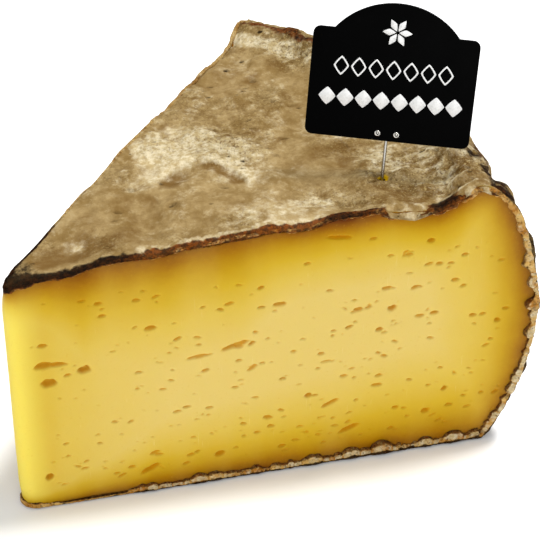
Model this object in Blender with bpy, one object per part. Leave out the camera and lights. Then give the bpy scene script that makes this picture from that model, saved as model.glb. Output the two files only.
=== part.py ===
# A cut wedge of tomme de savoie with a small black sign pinned into its rind.
# Blender 4.5. The shapes are worked out in millimetres and made in metres, +Z up.
# The wedge is drawn with its tip at the wheel's middle, front cut along +X, and is centred at the end.

import math

import bpy
import numpy as np
from mathutils import Matrix, Vector

METRES_PER_MM = 0.001

# Wheel and wedge
WHEEL_RADIUS = 105.0
WEDGE_ANGLE = math.radians(49.4)
TIP_HEIGHT = 54.2
MIDDLE_HEIGHT = 60.0
RISE_LENGTH = 48.0
LIP_HEIGHT = 3.8
LIP_RADIUS = 91.5
LIP_WIDTH = 4.5

# The rim bulges: it is widest at BELLY_LEVEL, a share of the height, and drops in above and below
BELLY_LEVEL = 0.58
TOP_DROP_FRONT = 9.8
TOP_DROP_BACK = 5.0
BOTTOM_DROP = 9.5
TOP_POWER = 1.5
BOTTOM_POWER = 2.6

# Nose: how far left of the tip the two cuts would meet, and its rounding
NOSE_REACH_TOP = 1.4
NOSE_REACH_MIDDLE = 4.3
NOSE_REACH_BOTTOM = 3.9
NOSE_RADIUS_TOP = 1.2
NOSE_RADIUS = 3.0

# The back cut curves outwards near the rim, where the rind drags it along
BACK_FLARE = 2.2

# Crust band on the cut faces, and the unevenness of the rind
CRUST_WIDTH = 2.6
CRUST_STAND = 0.9
RIND_RELIEF = 0.55
RIND_WAVE = 15.0
RIM_RELIEF = 0.7
RIM_WAVE = 9.0

# Mesh density: columns round the wedge, rows up its wall and rings across its top
FRONT_COLUMNS = 46
RIM_COLUMNS = 38
BACK_COLUMNS = 34
NOSE_COLUMNS = 7
WALL_ROWS = 19
TOP_RINGS = 15

# Sign: a plate with an arched top, leaning back a little from the viewer in front
SIGN_WIDTH = 31.5
SIGN_SIDE = 21.4
SIGN_CORNER = 1.4
SIGN_THICKNESS = 0.8
ARCH_WIDTH = 23.5
ARCH_RISE = 5.7
SIGN_TURN = math.radians(-18.7)
SIGN_LEAN = math.radians(13.4)
SIGN_ROLL = math.radians(3.3)

# Pin, where it enters the rind, and the tab and rivets that hold it to the plate's back
PIN_PLACE = (75.6, 12.6, 60.3)
PIN_RADIUS = 0.32
PIN_DEPTH = 24.0
PIN_POINT = 3.0
PIN_SHOWN = 7.4
PIN_OVERLAP = 3.6
GAP = 0.3
PIT_RADIUS = 1.6
PIT_DEPTH = 1.2
TAB_WIDTH = 6.0
TAB_HEIGHT = 2.4
TAB_THICKNESS = 0.4
TAB_CORNER = 0.6
RIVET_SPACING = 3.6
RIVET_HEIGHT = 1.5
RIVET_SHANK = 0.22
RIVET_HEAD = 0.62
RIVET_HEAD_THICKNESS = 0.2
RIVET_DIMPLE = 0.32
RIVET_GAP = 0.2

# Larger eyes of the front cut: along the face, height, width, opening height, tilt in degrees
FRONT_EYES = (
    (43.4, 33.8, 6.8, 1.1, 14.0),
    (36.3, 32.4, 5.6, 0.9, 4.0),
    (7.3, 35.4, 5.6, 1.7, 0.0),
    (7.1, 31.2, 3.3, 2.0, 0.0),
    (13.9, 33.1, 2.4, 1.9, 0.0),
    (25.8, 5.6, 4.3, 1.4, 28.0),
    (5.9, 7.4, 2.0, 1.7, 50.0),
    (66.7, 7.9, 5.0, 1.3, 20.0),
    (62.7, 15.5, 3.7, 1.2, 24.0),
    (63.9, 56.0, 5.2, 1.0, -8.0),
    (82.1, 52.2, 1.8, 1.3, 0.0),
    (52.2, 42.3, 2.7, 1.1, 0.0),
    (67.9, 38.1, 2.2, 1.2, 0.0),
    (74.9, 37.2, 1.8, 1.4, 0.0),
    (73.8, 42.3, 2.2, 1.0, 0.0),
    (27.1, 40.9, 2.5, 1.2, 0.0),
    (58.1, 18.4, 1.7, 1.4, 0.0),
    (40.1, 6.7, 2.1, 1.5, 20.0),
    (82.7, 9.5, 1.9, 1.4, 0.0),
    (72.4, 18.3, 2.5, 1.0, 0.0),
)
BACK_EYE_COUNT = 9
EYE_DEPTH_SHARE = 0.55


def smoothstep(start, end, value):
    """0 before start, 1 after end, and a smooth rise 3s^2 - 2s^3 between them."""
    share = np.clip((value - start) / (end - start), 0.0, 1.0)
    return share * share * (3.0 - 2.0 * share)


def waves(points, length, seed, count=14):
    """Uneven field of about -1 to 1: a sum of sines whose directions, lengths and phases are seeded."""
    draw = np.random.default_rng(seed)
    directions = draw.normal(size=(count, 3))
    directions /= np.linalg.norm(directions, axis=1, keepdims=True)
    lengths = length * draw.uniform(0.7, 1.4, count)
    phases = draw.uniform(0.0, 2.0 * np.pi, count)
    turns = points @ (directions / lengths[:, None]).T * 2.0 * np.pi + phases
    return np.sin(turns).sum(axis=-1) * math.sqrt(0.6 / count)


def stack(x, y, z):
    """Joins three arrays of one shape into points."""
    return np.stack(np.broadcast_arrays(x, y, z), axis=-1).astype(float)


def top_height(x, y):
    """Height of the top rind: a rise from the tip, a lip near the rim and uneven waves."""
    radius = np.hypot(x, y)
    ground = stack(x, y, 0.0)
    rise = TIP_HEIGHT + (MIDDLE_HEIGHT - TIP_HEIGHT) * smoothstep(0.0, RISE_LENGTH, radius)
    lip_radius = LIP_RADIUS + 5.0 * smoothstep(0.05, 0.4, np.arctan2(y, x))
    lip = np.exp(-(((radius - lip_radius) / LIP_WIDTH) ** 2)) * (0.8 + 0.3 * waves(ground, 14.0, 5))
    broad = RIND_RELIEF * waves(ground, RIND_WAVE, 11)
    fine = 0.5 * RIND_RELIEF * waves(ground, 0.5 * RIND_WAVE, 12)
    return rise + LIP_HEIGHT * lip + broad + fine


def rim_radius(level, angle):
    """Radius of the wheel's outer rind at a level, 0 at the base and 1 at the top edge."""
    above = np.clip((level - BELLY_LEVEL) / (1.0 - BELLY_LEVEL), 0.0, 1.0)
    below = np.clip((BELLY_LEVEL - level) / BELLY_LEVEL, 0.0, 1.0)
    top_drop = TOP_DROP_FRONT + (TOP_DROP_BACK - TOP_DROP_FRONT) * smoothstep(0.0, 0.35, angle)
    return WHEEL_RADIUS - top_drop * above**TOP_POWER - BOTTOM_DROP * below**BOTTOM_POWER


def nose_shape(level):
    """Reach of the nose to the left of the tip and its rounding, at a level."""
    under_top = smoothstep(1.0, 0.86, level)
    near_base = smoothstep(0.12, 0.0, level)
    reach = NOSE_REACH_TOP + (NOSE_REACH_MIDDLE - NOSE_REACH_TOP) * under_top
    reach = reach + (NOSE_REACH_BOTTOM - NOSE_REACH_MIDDLE) * near_base
    radius = NOSE_RADIUS_TOP + (NOSE_RADIUS - NOSE_RADIUS_TOP) * under_top
    return reach, radius


def plan_outline(level):
    """Outline of the wedge at a level, anticlockwise from the nose: points, outward normals, face number.

    Faces: 0 front cut, 1 outer rim, 2 back cut, 3 nose.
    """
    reach, radius = nose_shape(level)
    back_radius = rim_radius(level, WEDGE_ANGLE)
    rim_end = WEDGE_ANGLE + BACK_FLARE / back_radius
    corner = back_radius * np.array([math.cos(WEDGE_ANGLE), math.sin(WEDGE_ANGLE)])
    slope = math.atan2(corner[1], corner[0] + reach)
    tangent = radius / math.tan(slope / 2.0)
    front_start = tangent - reach
    back_end = np.array([tangent * math.cos(slope) - reach, tangent * math.sin(slope)])

    share = np.arange(FRONT_COLUMNS) / FRONT_COLUMNS
    share = 0.5 * share + 0.5 * (1.0 - (1.0 - share) ** 2)
    front_x = front_start + (rim_radius(level, 0.0) - front_start) * share
    front = np.stack([front_x, np.zeros_like(front_x)], axis=1)
    front_normal = np.tile([0.0, -1.0], (FRONT_COLUMNS, 1))

    angle = rim_end * np.arange(RIM_COLUMNS) / RIM_COLUMNS
    rim_normal = np.stack([np.cos(angle), np.sin(angle)], axis=1)
    rim = rim_normal * rim_radius(level, angle)[:, None]
    rim_normal[0] = np.array([math.sqrt(0.5), -math.sqrt(0.5)])

    share = np.arange(BACK_COLUMNS) / BACK_COLUMNS
    share = 1.0 - (0.5 * (1.0 - share) + 0.5 * (1.0 - share**2))
    back_normal = np.tile([-math.sin(slope), math.cos(slope)], (BACK_COLUMNS, 1))
    back = corner + (back_end - corner) * share[:, None]
    back += back_normal * (BACK_FLARE * (1.0 - share) ** 5)[:, None]
    back_normal[0] = (back_normal[0] + rim_normal[-1]) / np.linalg.norm(back_normal[0] + rim_normal[-1])

    turn = slope + math.pi / 2.0 + (math.pi - slope) * np.arange(NOSE_COLUMNS) / NOSE_COLUMNS
    nose_normal = np.stack([np.cos(turn), np.sin(turn)], axis=1)
    nose = np.array([front_start, radius]) + radius * nose_normal

    points = np.concatenate([front, rim, back, nose])
    normals = np.concatenate([front_normal, rim_normal, back_normal, nose_normal])
    sizes = (FRONT_COLUMNS, RIM_COLUMNS, BACK_COLUMNS, NOSE_COLUMNS)
    return points, normals, np.repeat(np.arange(4), sizes)


def crust_stand(points, faces, top):
    """How far the crust stands out of a cut face: full at the rind, none beyond CRUST_WIDTH from it."""
    along = np.hypot(points[:, 0], points[:, 1])
    rim_distance = WHEEL_RADIUS - 2.0 - along
    distance = np.minimum(np.minimum(top - points[:, 2], points[:, 2]), rim_distance)
    width = CRUST_WIDTH * (1.0 + 0.4 * waves(points, 8.0, 21))
    share = 1.0 - smoothstep(0.35 * width, width, distance)
    uneven = 0.6 + 0.45 * waves(points, 4.5, 22)
    stand = np.where(faces == 2, 0.5, 1.0) * (faces != 1) * CRUST_STAND
    return stand * share * np.clip(uneven, 0.1, 1.2)


def wall_rows():
    """Rings of points up the wall, from the base to the top edge."""
    edge, _, _ = plan_outline(1.0)
    top = top_height(edge[:, 0], edge[:, 1])
    rows = []
    for row in range(WALL_ROWS + 1):
        share = row / WALL_ROWS
        level = 0.2 * share + 0.8 * (1.0 - math.cos(math.pi * share)) / 2.0
        plan, normals, faces = plan_outline(level)
        points = stack(plan[:, 0], plan[:, 1], level * top)
        rim_waves = RIM_RELIEF * waves(points, RIM_WAVE, 31) * (faces == 1)
        out = crust_stand(points, faces, top) + rim_waves
        points[:, :2] += normals * out[:, None]
        rows.append(points)
    return rows


def top_rings(edge):
    """Rings that shrink from the top edge towards the middle of the rind, each at the rind's height."""
    middle = edge[:, :2].mean(axis=0)
    rings = []
    for ring in range(1, TOP_RINGS):
        share = (ring / TOP_RINGS) ** 1.5
        plan = middle + (edge[:, :2] - middle) * (1.0 - share)
        rings.append(stack(plan[:, 0], plan[:, 1], top_height(plan[:, 0], plan[:, 1])))
    return rings, middle


def material(name, colour, roughness, metallic):
    """Plain Principled material of a sub-part."""
    made = bpy.data.materials.new(name)
    made.use_nodes = True
    shader = made.node_tree.nodes["Principled BSDF"]
    shader.inputs["Base Color"].default_value = (*colour, 1.0)
    shader.inputs["Roughness"].default_value = roughness
    shader.inputs["Metallic"].default_value = metallic
    return made


def add_object(name, points, faces, finish=None, smooth_angle=None):
    """Makes an object from points in millimetres and faces, with its material."""
    mesh = bpy.data.meshes.new(name)
    mesh.from_pydata([Vector(p) * METRES_PER_MM for p in points], [], faces)
    mesh.update()
    thing = bpy.data.objects.new(name, mesh)
    bpy.context.scene.collection.objects.link(thing)
    if finish is not None:
        mesh.materials.append(finish)
    if smooth_angle is not None:
        mesh.shade_smooth()
        mesh.set_sharp_from_angle(angle=smooth_angle)
    return thing


def bridged(rings, closed_ends=True):
    """Quads between rings of equal size, and the first and last ring closed by one face each."""
    count = len(rings[0])
    faces = []
    for ring in range(len(rings) - 1):
        base = ring * count
        for column in range(count):
            after = (column + 1) % count
            faces.append((base + column, base + after, base + count + after, base + count + column))
    if closed_ends:
        faces.append(tuple(reversed(range(count))))
        last = (len(rings) - 1) * count
        faces.append(tuple(range(last, last + count)))
    return faces


def turned(profile, sides):
    """Points and faces of a shape turned round Z from a closed-ended profile of radius and height."""
    turns = [2.0 * math.pi * side / sides for side in range(sides)]
    rings = [[(r * math.cos(a), r * math.sin(a), z) for a in turns] for r, z in profile]
    points = [point for ring in rings for point in ring]
    return points, bridged(rings)


def make_cheese(finish):
    """The wedge: base, wall and top rind as one closed body."""
    rows = wall_rows()
    rings, middle = top_rings(rows[-1])
    loops = rows + rings
    points = [tuple(point) for loop in loops for point in loop]
    faces = bridged(loops, closed_ends=False)
    count = len(rows[0])
    faces.append(tuple(reversed(range(count))))
    points.append((middle[0], middle[1], float(top_height(middle[0], middle[1]))))
    last = (len(loops) - 1) * count
    for column in range(count):
        faces.append((last + column, last + (column + 1) % count, len(points) - 1))
    return add_object("cheese", points, faces, finish, math.radians(40.0))


def eye_cutter(name, place, outward, width, height, tilt):
    """A flattened ball that cuts one eye: its long axis lies along the face, tilted by some degrees."""
    rings = 6
    sides = 10
    profile = []
    for ring in range(rings + 1):
        bend = math.pi * ring / rings
        profile.append((max(math.sin(bend), 0.03), -math.cos(bend)))
    points, faces = turned(profile, sides)
    depth = max(EYE_DEPTH_SHARE * width, 0.7 * height)
    shape = Matrix.Diagonal((width / 2.0, height / 2.0, depth, 1.0))
    across = Vector((-outward[1], outward[0], 0.0))
    up = Vector((0.0, 0.0, 1.0))
    out = Vector((outward[0], outward[1], 0.0))
    turn = Matrix((across, up, out)).transposed().to_4x4()
    roll = Matrix.Rotation(math.radians(tilt), 4, "Z")
    move = Matrix.Translation(Vector(place)) @ turn @ roll @ shape
    return add_object(name, [move @ Vector(p) for p in points], faces)


def back_eyes():
    """Seeded places on the back cut for its larger eyes."""
    draw = np.random.default_rng(77)
    spacing = 80.0 / BACK_EYE_COUNT
    eyes = []
    for index in range(BACK_EYE_COUNT):
        along = 13.0 + spacing * index + draw.uniform(-1.5, 1.5)
        eyes.append((along, draw.uniform(10.0, 46.0), draw.uniform(2.4, 4.6), draw.uniform(1.1, 1.8)))
    return eyes


def hide_cutter(thing, group):
    """A cutter only cuts: it is drawn as wire and isn't rendered."""
    thing.display_type = "WIRE"
    thing.hide_render = True
    bpy.context.scene.collection.objects.unlink(thing)
    group.objects.link(thing)


def sign_frame():
    """Matrix of the sign: X along its width, Y out of its face towards the front, Z up its height."""
    turn = Matrix.Rotation(SIGN_TURN, 4, "Z")
    lean = Matrix.Rotation(-SIGN_LEAN, 4, "X")
    roll = Matrix.Rotation(SIGN_ROLL, 4, "Y")
    return Matrix.Translation(Vector(PIN_PLACE)) @ turn @ lean @ roll


def cut_holes(cheese):
    """Cuts the eyes and the pin's hole, with a small pit at its mouth, out of the cheese."""
    group = bpy.data.collections.new("cutters")
    bpy.context.scene.collection.children.link(group)
    for number, (along, height, width, opening, tilt) in enumerate(FRONT_EYES):
        cutter = eye_cutter(f"front_eye_{number}", (along, 0.0, height), (0.0, -1.0), width, opening, tilt)
        hide_cutter(cutter, group)
    corner = np.array([math.cos(WEDGE_ANGLE), math.sin(WEDGE_ANGLE)]) * WHEEL_RADIUS
    start = np.array([-NOSE_REACH_MIDDLE, 0.0])
    run = (corner - start) / np.linalg.norm(corner - start)
    for number, (along, height, width, opening) in enumerate(back_eyes()):
        place = start + run * along
        outward = (-run[1], run[0])
        cutter = eye_cutter(f"back_eye_{number}", (place[0], place[1], height), outward, width, opening, 0.0)
        hide_cutter(cutter, group)
    hole = PIN_RADIUS + GAP
    profile = (
        (0.2, -PIN_DEPTH - GAP - 0.2),
        (hole, -PIN_DEPTH + PIN_POINT),
        (hole, -PIT_DEPTH),
        (PIT_RADIUS, 0.4),
        (PIT_RADIUS, 4.0),
    )
    points, faces = turned(profile, 16)
    frame = sign_frame()
    hide_cutter(add_object("pin_hole", [frame @ Vector(p) for p in points], faces), group)
    cut = cheese.modifiers.new("holes", "BOOLEAN")
    cut.operation = "DIFFERENCE"
    cut.operand_type = "COLLECTION"
    cut.collection = group


def arc(centre, radius, start, end, steps):
    """Points on an arc, angles in degrees, both ends included."""
    angles = [math.radians(start + (end - start) * step / steps) for step in range(steps + 1)]
    return [(centre[0] + radius * math.cos(a), centre[1] + radius * math.sin(a)) for a in angles]


def sign_outline():
    """Plate outline as seen from the front: rounded corners, straight sides and an arch on the shoulders."""
    half = SIGN_WIDTH / 2.0
    inner = half - SIGN_CORNER
    arch_radius = ((ARCH_WIDTH / 2.0) ** 2 + ARCH_RISE**2) / (2.0 * ARCH_RISE)
    arch_centre = (0.0, SIGN_SIDE + ARCH_RISE - arch_radius)
    arch_end = math.degrees(math.asin(ARCH_WIDTH / 2.0 / arch_radius))
    outline = arc((-inner, SIGN_CORNER), SIGN_CORNER, 180.0, 270.0, 5)
    outline += arc((inner, SIGN_CORNER), SIGN_CORNER, 270.0, 360.0, 5)
    outline += arc((inner, SIGN_SIDE - SIGN_CORNER), SIGN_CORNER, 0.0, 90.0, 5)
    outline += arc(arch_centre, arch_radius, 90.0 - arch_end, 90.0 + arch_end, 18)
    outline += arc((-inner, SIGN_SIDE - SIGN_CORNER), SIGN_CORNER, 90.0, 180.0, 5)
    return outline


def flat_piece(name, outline, front, back, finish, holes):
    """A flat plate between two depths in the sign's frame, with round rivet holes through it."""
    rings = [[(x, -front, z) for x, z in outline], [(x, -back, z) for x, z in outline]]
    points = [point for ring in rings for point in ring]
    frame = sign_frame()
    plate = add_object(name, [frame @ Vector(p) for p in points], bridged(rings), finish)
    for number, (x, z) in enumerate(holes):
        tube, faces = turned(((RIVET_SHANK + RIVET_GAP, -6.0), (RIVET_SHANK + RIVET_GAP, 6.0)), 16)
        placed = [frame @ Vector((x + p[0], p[2], z - p[1])) for p in tube]
        drill = add_object(f"{name}_drill_{number}", placed, faces)
        drill.display_type = "WIRE"
        drill.hide_render = True
        cut = plate.modifiers.new("hole", "BOOLEAN")
        cut.operation = "DIFFERENCE"
        cut.object = drill
    return plate


def make_sign(black, steel):
    """The plate, the pin behind it, and the tab and two rivets that clamp the pin to the plate."""
    frame = sign_frame()
    plate_back = PIN_RADIUS + GAP
    plate_front = plate_back + SIGN_THICKNESS
    tab_front = -PIN_RADIUS - GAP
    tab_back = tab_front - TAB_THICKNESS
    rivet_z = PIN_SHOWN + RIVET_HEIGHT
    holes = [(-RIVET_SPACING / 2.0, rivet_z), (RIVET_SPACING / 2.0, rivet_z)]

    outline = [(x, z + PIN_SHOWN) for x, z in sign_outline()]
    flat_piece("sign_plate", outline, plate_front, plate_back, black, holes)

    half = TAB_WIDTH / 2.0
    inner = half - TAB_CORNER
    low = rivet_z - TAB_HEIGHT / 2.0
    high = rivet_z + TAB_HEIGHT / 2.0
    tab = arc((-inner, low + TAB_CORNER), TAB_CORNER, 180.0, 270.0, 4)
    tab += arc((inner, low + TAB_CORNER), TAB_CORNER, 270.0, 360.0, 4)
    tab += arc((inner, high - TAB_CORNER), TAB_CORNER, 0.0, 90.0, 4)
    tab += arc((-inner, high - TAB_CORNER), TAB_CORNER, 90.0, 180.0, 4)
    flat_piece("pin_tab", tab, tab_front, tab_back, steel, holes)

    profile = (
        (0.08, -PIN_DEPTH),
        (PIN_RADIUS, -PIN_DEPTH + PIN_POINT),
        (PIN_RADIUS, PIN_SHOWN + PIN_OVERLAP - 0.1),
        (PIN_RADIUS - 0.1, PIN_SHOWN + PIN_OVERLAP),
    )
    points, faces = turned(profile, 20)
    add_object("sign_pin", [frame @ Vector(p) for p in points], faces, steel, math.radians(40.0))

    front = plate_front + RIVET_GAP
    back = tab_back - RIVET_GAP
    profile = (
        (0.3, back - RIVET_HEAD_THICKNESS),
        (RIVET_HEAD, back - 0.1),
        (RIVET_HEAD, back),
        (RIVET_SHANK, back),
        (RIVET_SHANK, front),
        (RIVET_HEAD, front),
        (RIVET_HEAD, front + 0.1),
        (0.55 * (RIVET_HEAD + RIVET_DIMPLE), front + RIVET_HEAD_THICKNESS),
        (RIVET_DIMPLE, front + 0.8 * RIVET_HEAD_THICKNESS),
        (0.7 * RIVET_DIMPLE, front + 0.2 * RIVET_HEAD_THICKNESS),
    )
    points, faces = turned(profile, 20)
    for side, (x, z) in zip(("left", "right"), holes):
        placed = [frame @ Vector((x + p[0], -p[2], z + p[1])) for p in points]
        add_object(f"rivet_{side}", placed, faces, steel, math.radians(40.0))


def centre_on_base():
    """Moves everything so that the middle of the bounding box's bottom is the origin."""
    corners = []
    for thing in bpy.context.scene.objects:
        if thing.type == "MESH" and not thing.hide_render:
            corners += [vertex.co for vertex in thing.data.vertices]
    corners = np.array(corners)
    low = corners.min(axis=0)
    high = corners.max(axis=0)
    shift = Vector((-(low[0] + high[0]) / 2.0, -(low[1] + high[1]) / 2.0, -low[2]))
    for thing in bpy.context.scene.objects:
        thing.data.transform(Matrix.Translation(shift))


for thing in list(bpy.data.objects):
    bpy.data.objects.remove(thing, do_unlink=True)
paste_and_rind = material("paste_and_rind", (0.72, 0.50, 0.13), 0.6, 0.0)
black_plastic = material("black_plastic", (0.01, 0.01, 0.01), 0.35, 0.0)
polished_steel = material("polished_steel", (0.62, 0.61, 0.58), 0.2, 1.0)
wedge = make_cheese(paste_and_rind)
cut_holes(wedge)
make_sign(black_plastic, polished_steel)
centre_on_base()
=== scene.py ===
# %% [markdown]
# # A wedge of tomme de savoie with its little sign
#
# The real thing is about a seventh of a wheel of mountain cheese, cut with a long knife. Three
# materials meet in it: a firm yellow paste full of small flat eyes, a dry grey-brown rind like old
# stone, and the ragged crust where the knife tore the rind. A small black sign stands on a steel pin.
# Each of these becomes its own mesh here, because each is seen close up and has its own finish.

# %% Load the frame
import math

import bpy
import numpy as np
from mathutils import Matrix, Vector


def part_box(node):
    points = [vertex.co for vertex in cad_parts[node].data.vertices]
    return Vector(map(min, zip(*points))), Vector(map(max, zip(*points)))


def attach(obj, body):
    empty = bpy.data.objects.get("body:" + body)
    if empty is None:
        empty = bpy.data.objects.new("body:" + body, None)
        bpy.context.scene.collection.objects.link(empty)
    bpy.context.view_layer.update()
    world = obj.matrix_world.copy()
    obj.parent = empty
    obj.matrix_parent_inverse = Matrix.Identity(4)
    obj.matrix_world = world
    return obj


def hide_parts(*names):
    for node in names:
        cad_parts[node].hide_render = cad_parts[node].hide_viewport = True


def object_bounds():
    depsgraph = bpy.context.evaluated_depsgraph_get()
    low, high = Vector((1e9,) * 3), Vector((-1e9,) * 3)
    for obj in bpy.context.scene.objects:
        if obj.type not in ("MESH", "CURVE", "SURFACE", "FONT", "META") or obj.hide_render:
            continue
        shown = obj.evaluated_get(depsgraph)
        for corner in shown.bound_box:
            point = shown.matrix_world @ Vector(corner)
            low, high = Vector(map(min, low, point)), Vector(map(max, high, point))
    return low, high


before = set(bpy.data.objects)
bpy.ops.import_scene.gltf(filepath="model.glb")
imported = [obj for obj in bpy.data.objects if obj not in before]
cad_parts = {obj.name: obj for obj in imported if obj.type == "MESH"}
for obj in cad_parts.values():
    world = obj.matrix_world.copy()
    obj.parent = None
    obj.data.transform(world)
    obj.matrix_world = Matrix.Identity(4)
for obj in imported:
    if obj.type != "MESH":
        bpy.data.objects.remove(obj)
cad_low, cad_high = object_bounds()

MM = 0.001
print("solid model in mm:", [round((b - a) / MM, 1) for a, b in zip(cad_low, cad_high)])

# %% [markdown]
# ## A ruler for the wedge
#
# A wedge is easiest to describe from the middle of its wheel: the front cut runs along +X, heights go
# up +Z and everything is in millimetres. The frame has its origin elsewhere, so the wheel's middle is
# found once, from the low corner of the cheese's box, and every mesh is moved there when it is made.

# %% Find the wheel's middle
NOSE_OUT = 0.914
FRONT_OUT = 1.08
cheese_low, cheese_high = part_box("cheese")
wheel_middle = np.array([cheese_low.x / MM + NOSE_OUT, cheese_low.y / MM + FRONT_OUT, 0.0])
print("wheel's middle in the frame, mm:", wheel_middle.round(2))

# %% [markdown]
# ## Uneven numbers
#
# Rind, crumbs and flakes are irregular at many sizes at once. Two kinds of repeatable noise give that:
# a smooth one, which blends random numbers held at the corners of a grid of cells, and a lumpy one,
# which measures how far a place is from the nearest of many scattered points. Both are worked out for
# whole arrays of places in one go, and give the same numbers in every run.

# %% Smooth and lumpy noise
def limited(value):
    """The value kept between 0 and 1."""
    return np.clip(value, 0.0, 1.0)


def smoothstep(start, end, value):
    """0 before start and 1 after end, with 3s^2 - 2s^3 of the share s between them."""
    share = limited((value - start) / (end - start))
    return share * share * (3.0 - 2.0 * share)


def cell_number(x, y, z, seed):
    """A random number from 0 to 1 for each whole-number cell: its coordinates multiplied and scrambled."""
    mixed = x.astype(np.uint32) * np.uint32(0x8DA6B343)
    mixed ^= y.astype(np.uint32) * np.uint32(0xD8163841)
    mixed ^= z.astype(np.uint32) * np.uint32(0xCB1AB31F)
    mixed ^= np.uint32((seed * 0x9E3779B1) & 0xFFFFFFFF)
    mixed ^= mixed >> np.uint32(15)
    mixed *= np.uint32(0x2C1B3C6D)
    mixed ^= mixed >> np.uint32(12)
    mixed *= np.uint32(0x297A2D39)
    mixed ^= mixed >> np.uint32(15)
    return mixed.astype(np.float64) / 2.0**32


def smooth_noise(points, size, seed):
    """Noise of -1 to 1 with features of a size: corner numbers blended along x, then y, then z."""
    place = points / size
    cell = np.floor(place).astype(np.int64)
    part = place - cell
    part = part**3 * (part * (part * 6.0 - 15.0) + 10.0)
    total = 0.0
    for corner in range(8):
        step = np.array([corner & 1, corner >> 1 & 1, corner >> 2 & 1])
        weight = np.where(step, part, 1.0 - part).prod(axis=-1)
        x, y, z = np.moveaxis(cell + step, -1, 0)
        total = total + weight * cell_number(x, y, z, seed)
    return 2.0 * total - 1.0


TURN = np.array([[0.36, 0.48, -0.8], [-0.8, 0.6, 0.0], [0.48, 0.64, 0.6]])


def layered_noise(points, size, seed, layers=3):
    """Smooth noise plus copies at half the size and strength, each turned so that no grid shows."""
    total = 0.0
    strength = 1.0
    for layer in range(layers):
        points = points @ TURN.T
        total = total + strength * smooth_noise(points, size / 2.0**layer, seed + 17 * layer)
        strength *= 0.5
    return total / 1.4


def lump_noise(points, size, seed):
    """1 at the middle of a lump, 0 between lumps: one less the distance to the nearest point."""
    place = points / size
    cell = np.floor(place).astype(np.int64)
    nearest = np.full(place.shape[:-1], 9.0)
    for step in np.ndindex(3, 3, 3):
        x, y, z = np.moveaxis(cell + np.array(step) - 1, -1, 0)
        centre = np.stack([x, y, z], axis=-1).astype(float)
        centre += np.stack([cell_number(x, y, z, seed + axis) for axis in range(3)], axis=-1)
        nearest = np.minimum(nearest, np.linalg.norm(place - centre, axis=-1))
    return limited(1.0 - nearest)


def waves(points, length, seed, count=14):
    """Broad unevenness of about -1 to 1: a sum of sines with seeded directions, lengths and phases."""
    draw = np.random.default_rng(seed)
    directions = draw.normal(size=(count, 3))
    directions /= np.linalg.norm(directions, axis=1, keepdims=True)
    lengths = length * draw.uniform(0.7, 1.4, count)
    phases = draw.uniform(0.0, 2.0 * np.pi, count)
    turns = points @ (directions / lengths[:, None]).T * 2.0 * np.pi + phases
    return np.sin(turns).sum(axis=-1) * math.sqrt(0.6 / count)


def bells(x, y, marks, squash, power):
    """Sum of bells at marks of place, size and height: exp of less the squared distance to a power."""
    total = np.zeros_like(x)
    for place_x, place_y, size, height in marks:
        away = ((x - place_x) / size) ** 2 + ((y - place_y) / (squash * size)) ** 2
        total += height * np.exp(-(away**power))
    return total


def stack(x, y, z):
    """Joins three arrays into one array of points."""
    return np.stack(np.broadcast_arrays(x, y, z), axis=-1).astype(float)


def tilted(x, y, degrees):
    """Distances along and across a direction that is turned by an angle."""
    turn = math.radians(degrees)
    return x * math.cos(turn) + y * math.sin(turn), y * math.cos(turn) - x * math.sin(turn)


print("noise at three places:", smooth_noise(np.eye(3) * 7.3, 2.0, 1).round(3))

# %% [markdown]
# ## The wedge's broad form
#
# These are the solid's sizes, with a slightly fuller rise and shoulder: the wheel's radius and bulging
# rim, the rise of the rind from the tip to the middle, the raised lip near the rim, and the nose, which
# is nearly sharp at the rind and rounds out below it where the soft paste sags. All fine surfaces start
# from them.

# %% Wheel and rim
WHEEL_RADIUS = 105.0
WEDGE_ANGLE = math.radians(49.4)
TIP_HEIGHT = 54.2
MIDDLE_HEIGHT = 60.0
RISE_LENGTH = 48.0
RISE_POWER = 0.55
LIP_HEIGHT = 3.8
LIP_RADIUS = 91.5
LIP_WIDTH = 4.5
BELLY_LEVEL = 0.58
TOP_DROP_FRONT = 9.8
TOP_DROP_BACK = 5.0
BOTTOM_DROP = 9.5
TOP_SLOPE_SHARE = 0.61
TOP_SLOPE_POWER = 1.1
TOP_CORNER_POWER = 6.0
BOTTOM_POWER = 2.6
NOSE_REACH_TOP = 1.4
NOSE_REACH_MIDDLE = 4.3
NOSE_REACH_BOTTOM = 3.9
NOSE_RADIUS_TOP = 1.2
NOSE_RADIUS = 3.0
BACK_FLARE = 2.2
RIND_RELIEF = 0.55
RIND_WAVE = 15.0
RIM_RELIEF = 0.7
RIM_WAVE = 9.0


def top_height(x, y):
    """Height of the rind: a rise from the tip, a lip near the rim and broad waves."""
    radius = np.hypot(x, y)
    ground = stack(x, y, 0.0)
    way_up = limited((radius + 0.4) / RISE_LENGTH) ** RISE_POWER
    rise = TIP_HEIGHT + (MIDDLE_HEIGHT - TIP_HEIGHT) * way_up
    lip_radius = LIP_RADIUS + 5.0 * smoothstep(0.05, 0.4, np.arctan2(y, x))
    lip = np.exp(-(((radius - lip_radius) / LIP_WIDTH) ** 2)) * (0.8 + 0.3 * waves(ground, 14.0, 5))
    broad = RIND_RELIEF * waves(ground, RIND_WAVE, 11)
    fine = 0.5 * RIND_RELIEF * waves(ground, 0.5 * RIND_WAVE, 12)
    return rise + LIP_HEIGHT * lip + broad + fine


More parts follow.
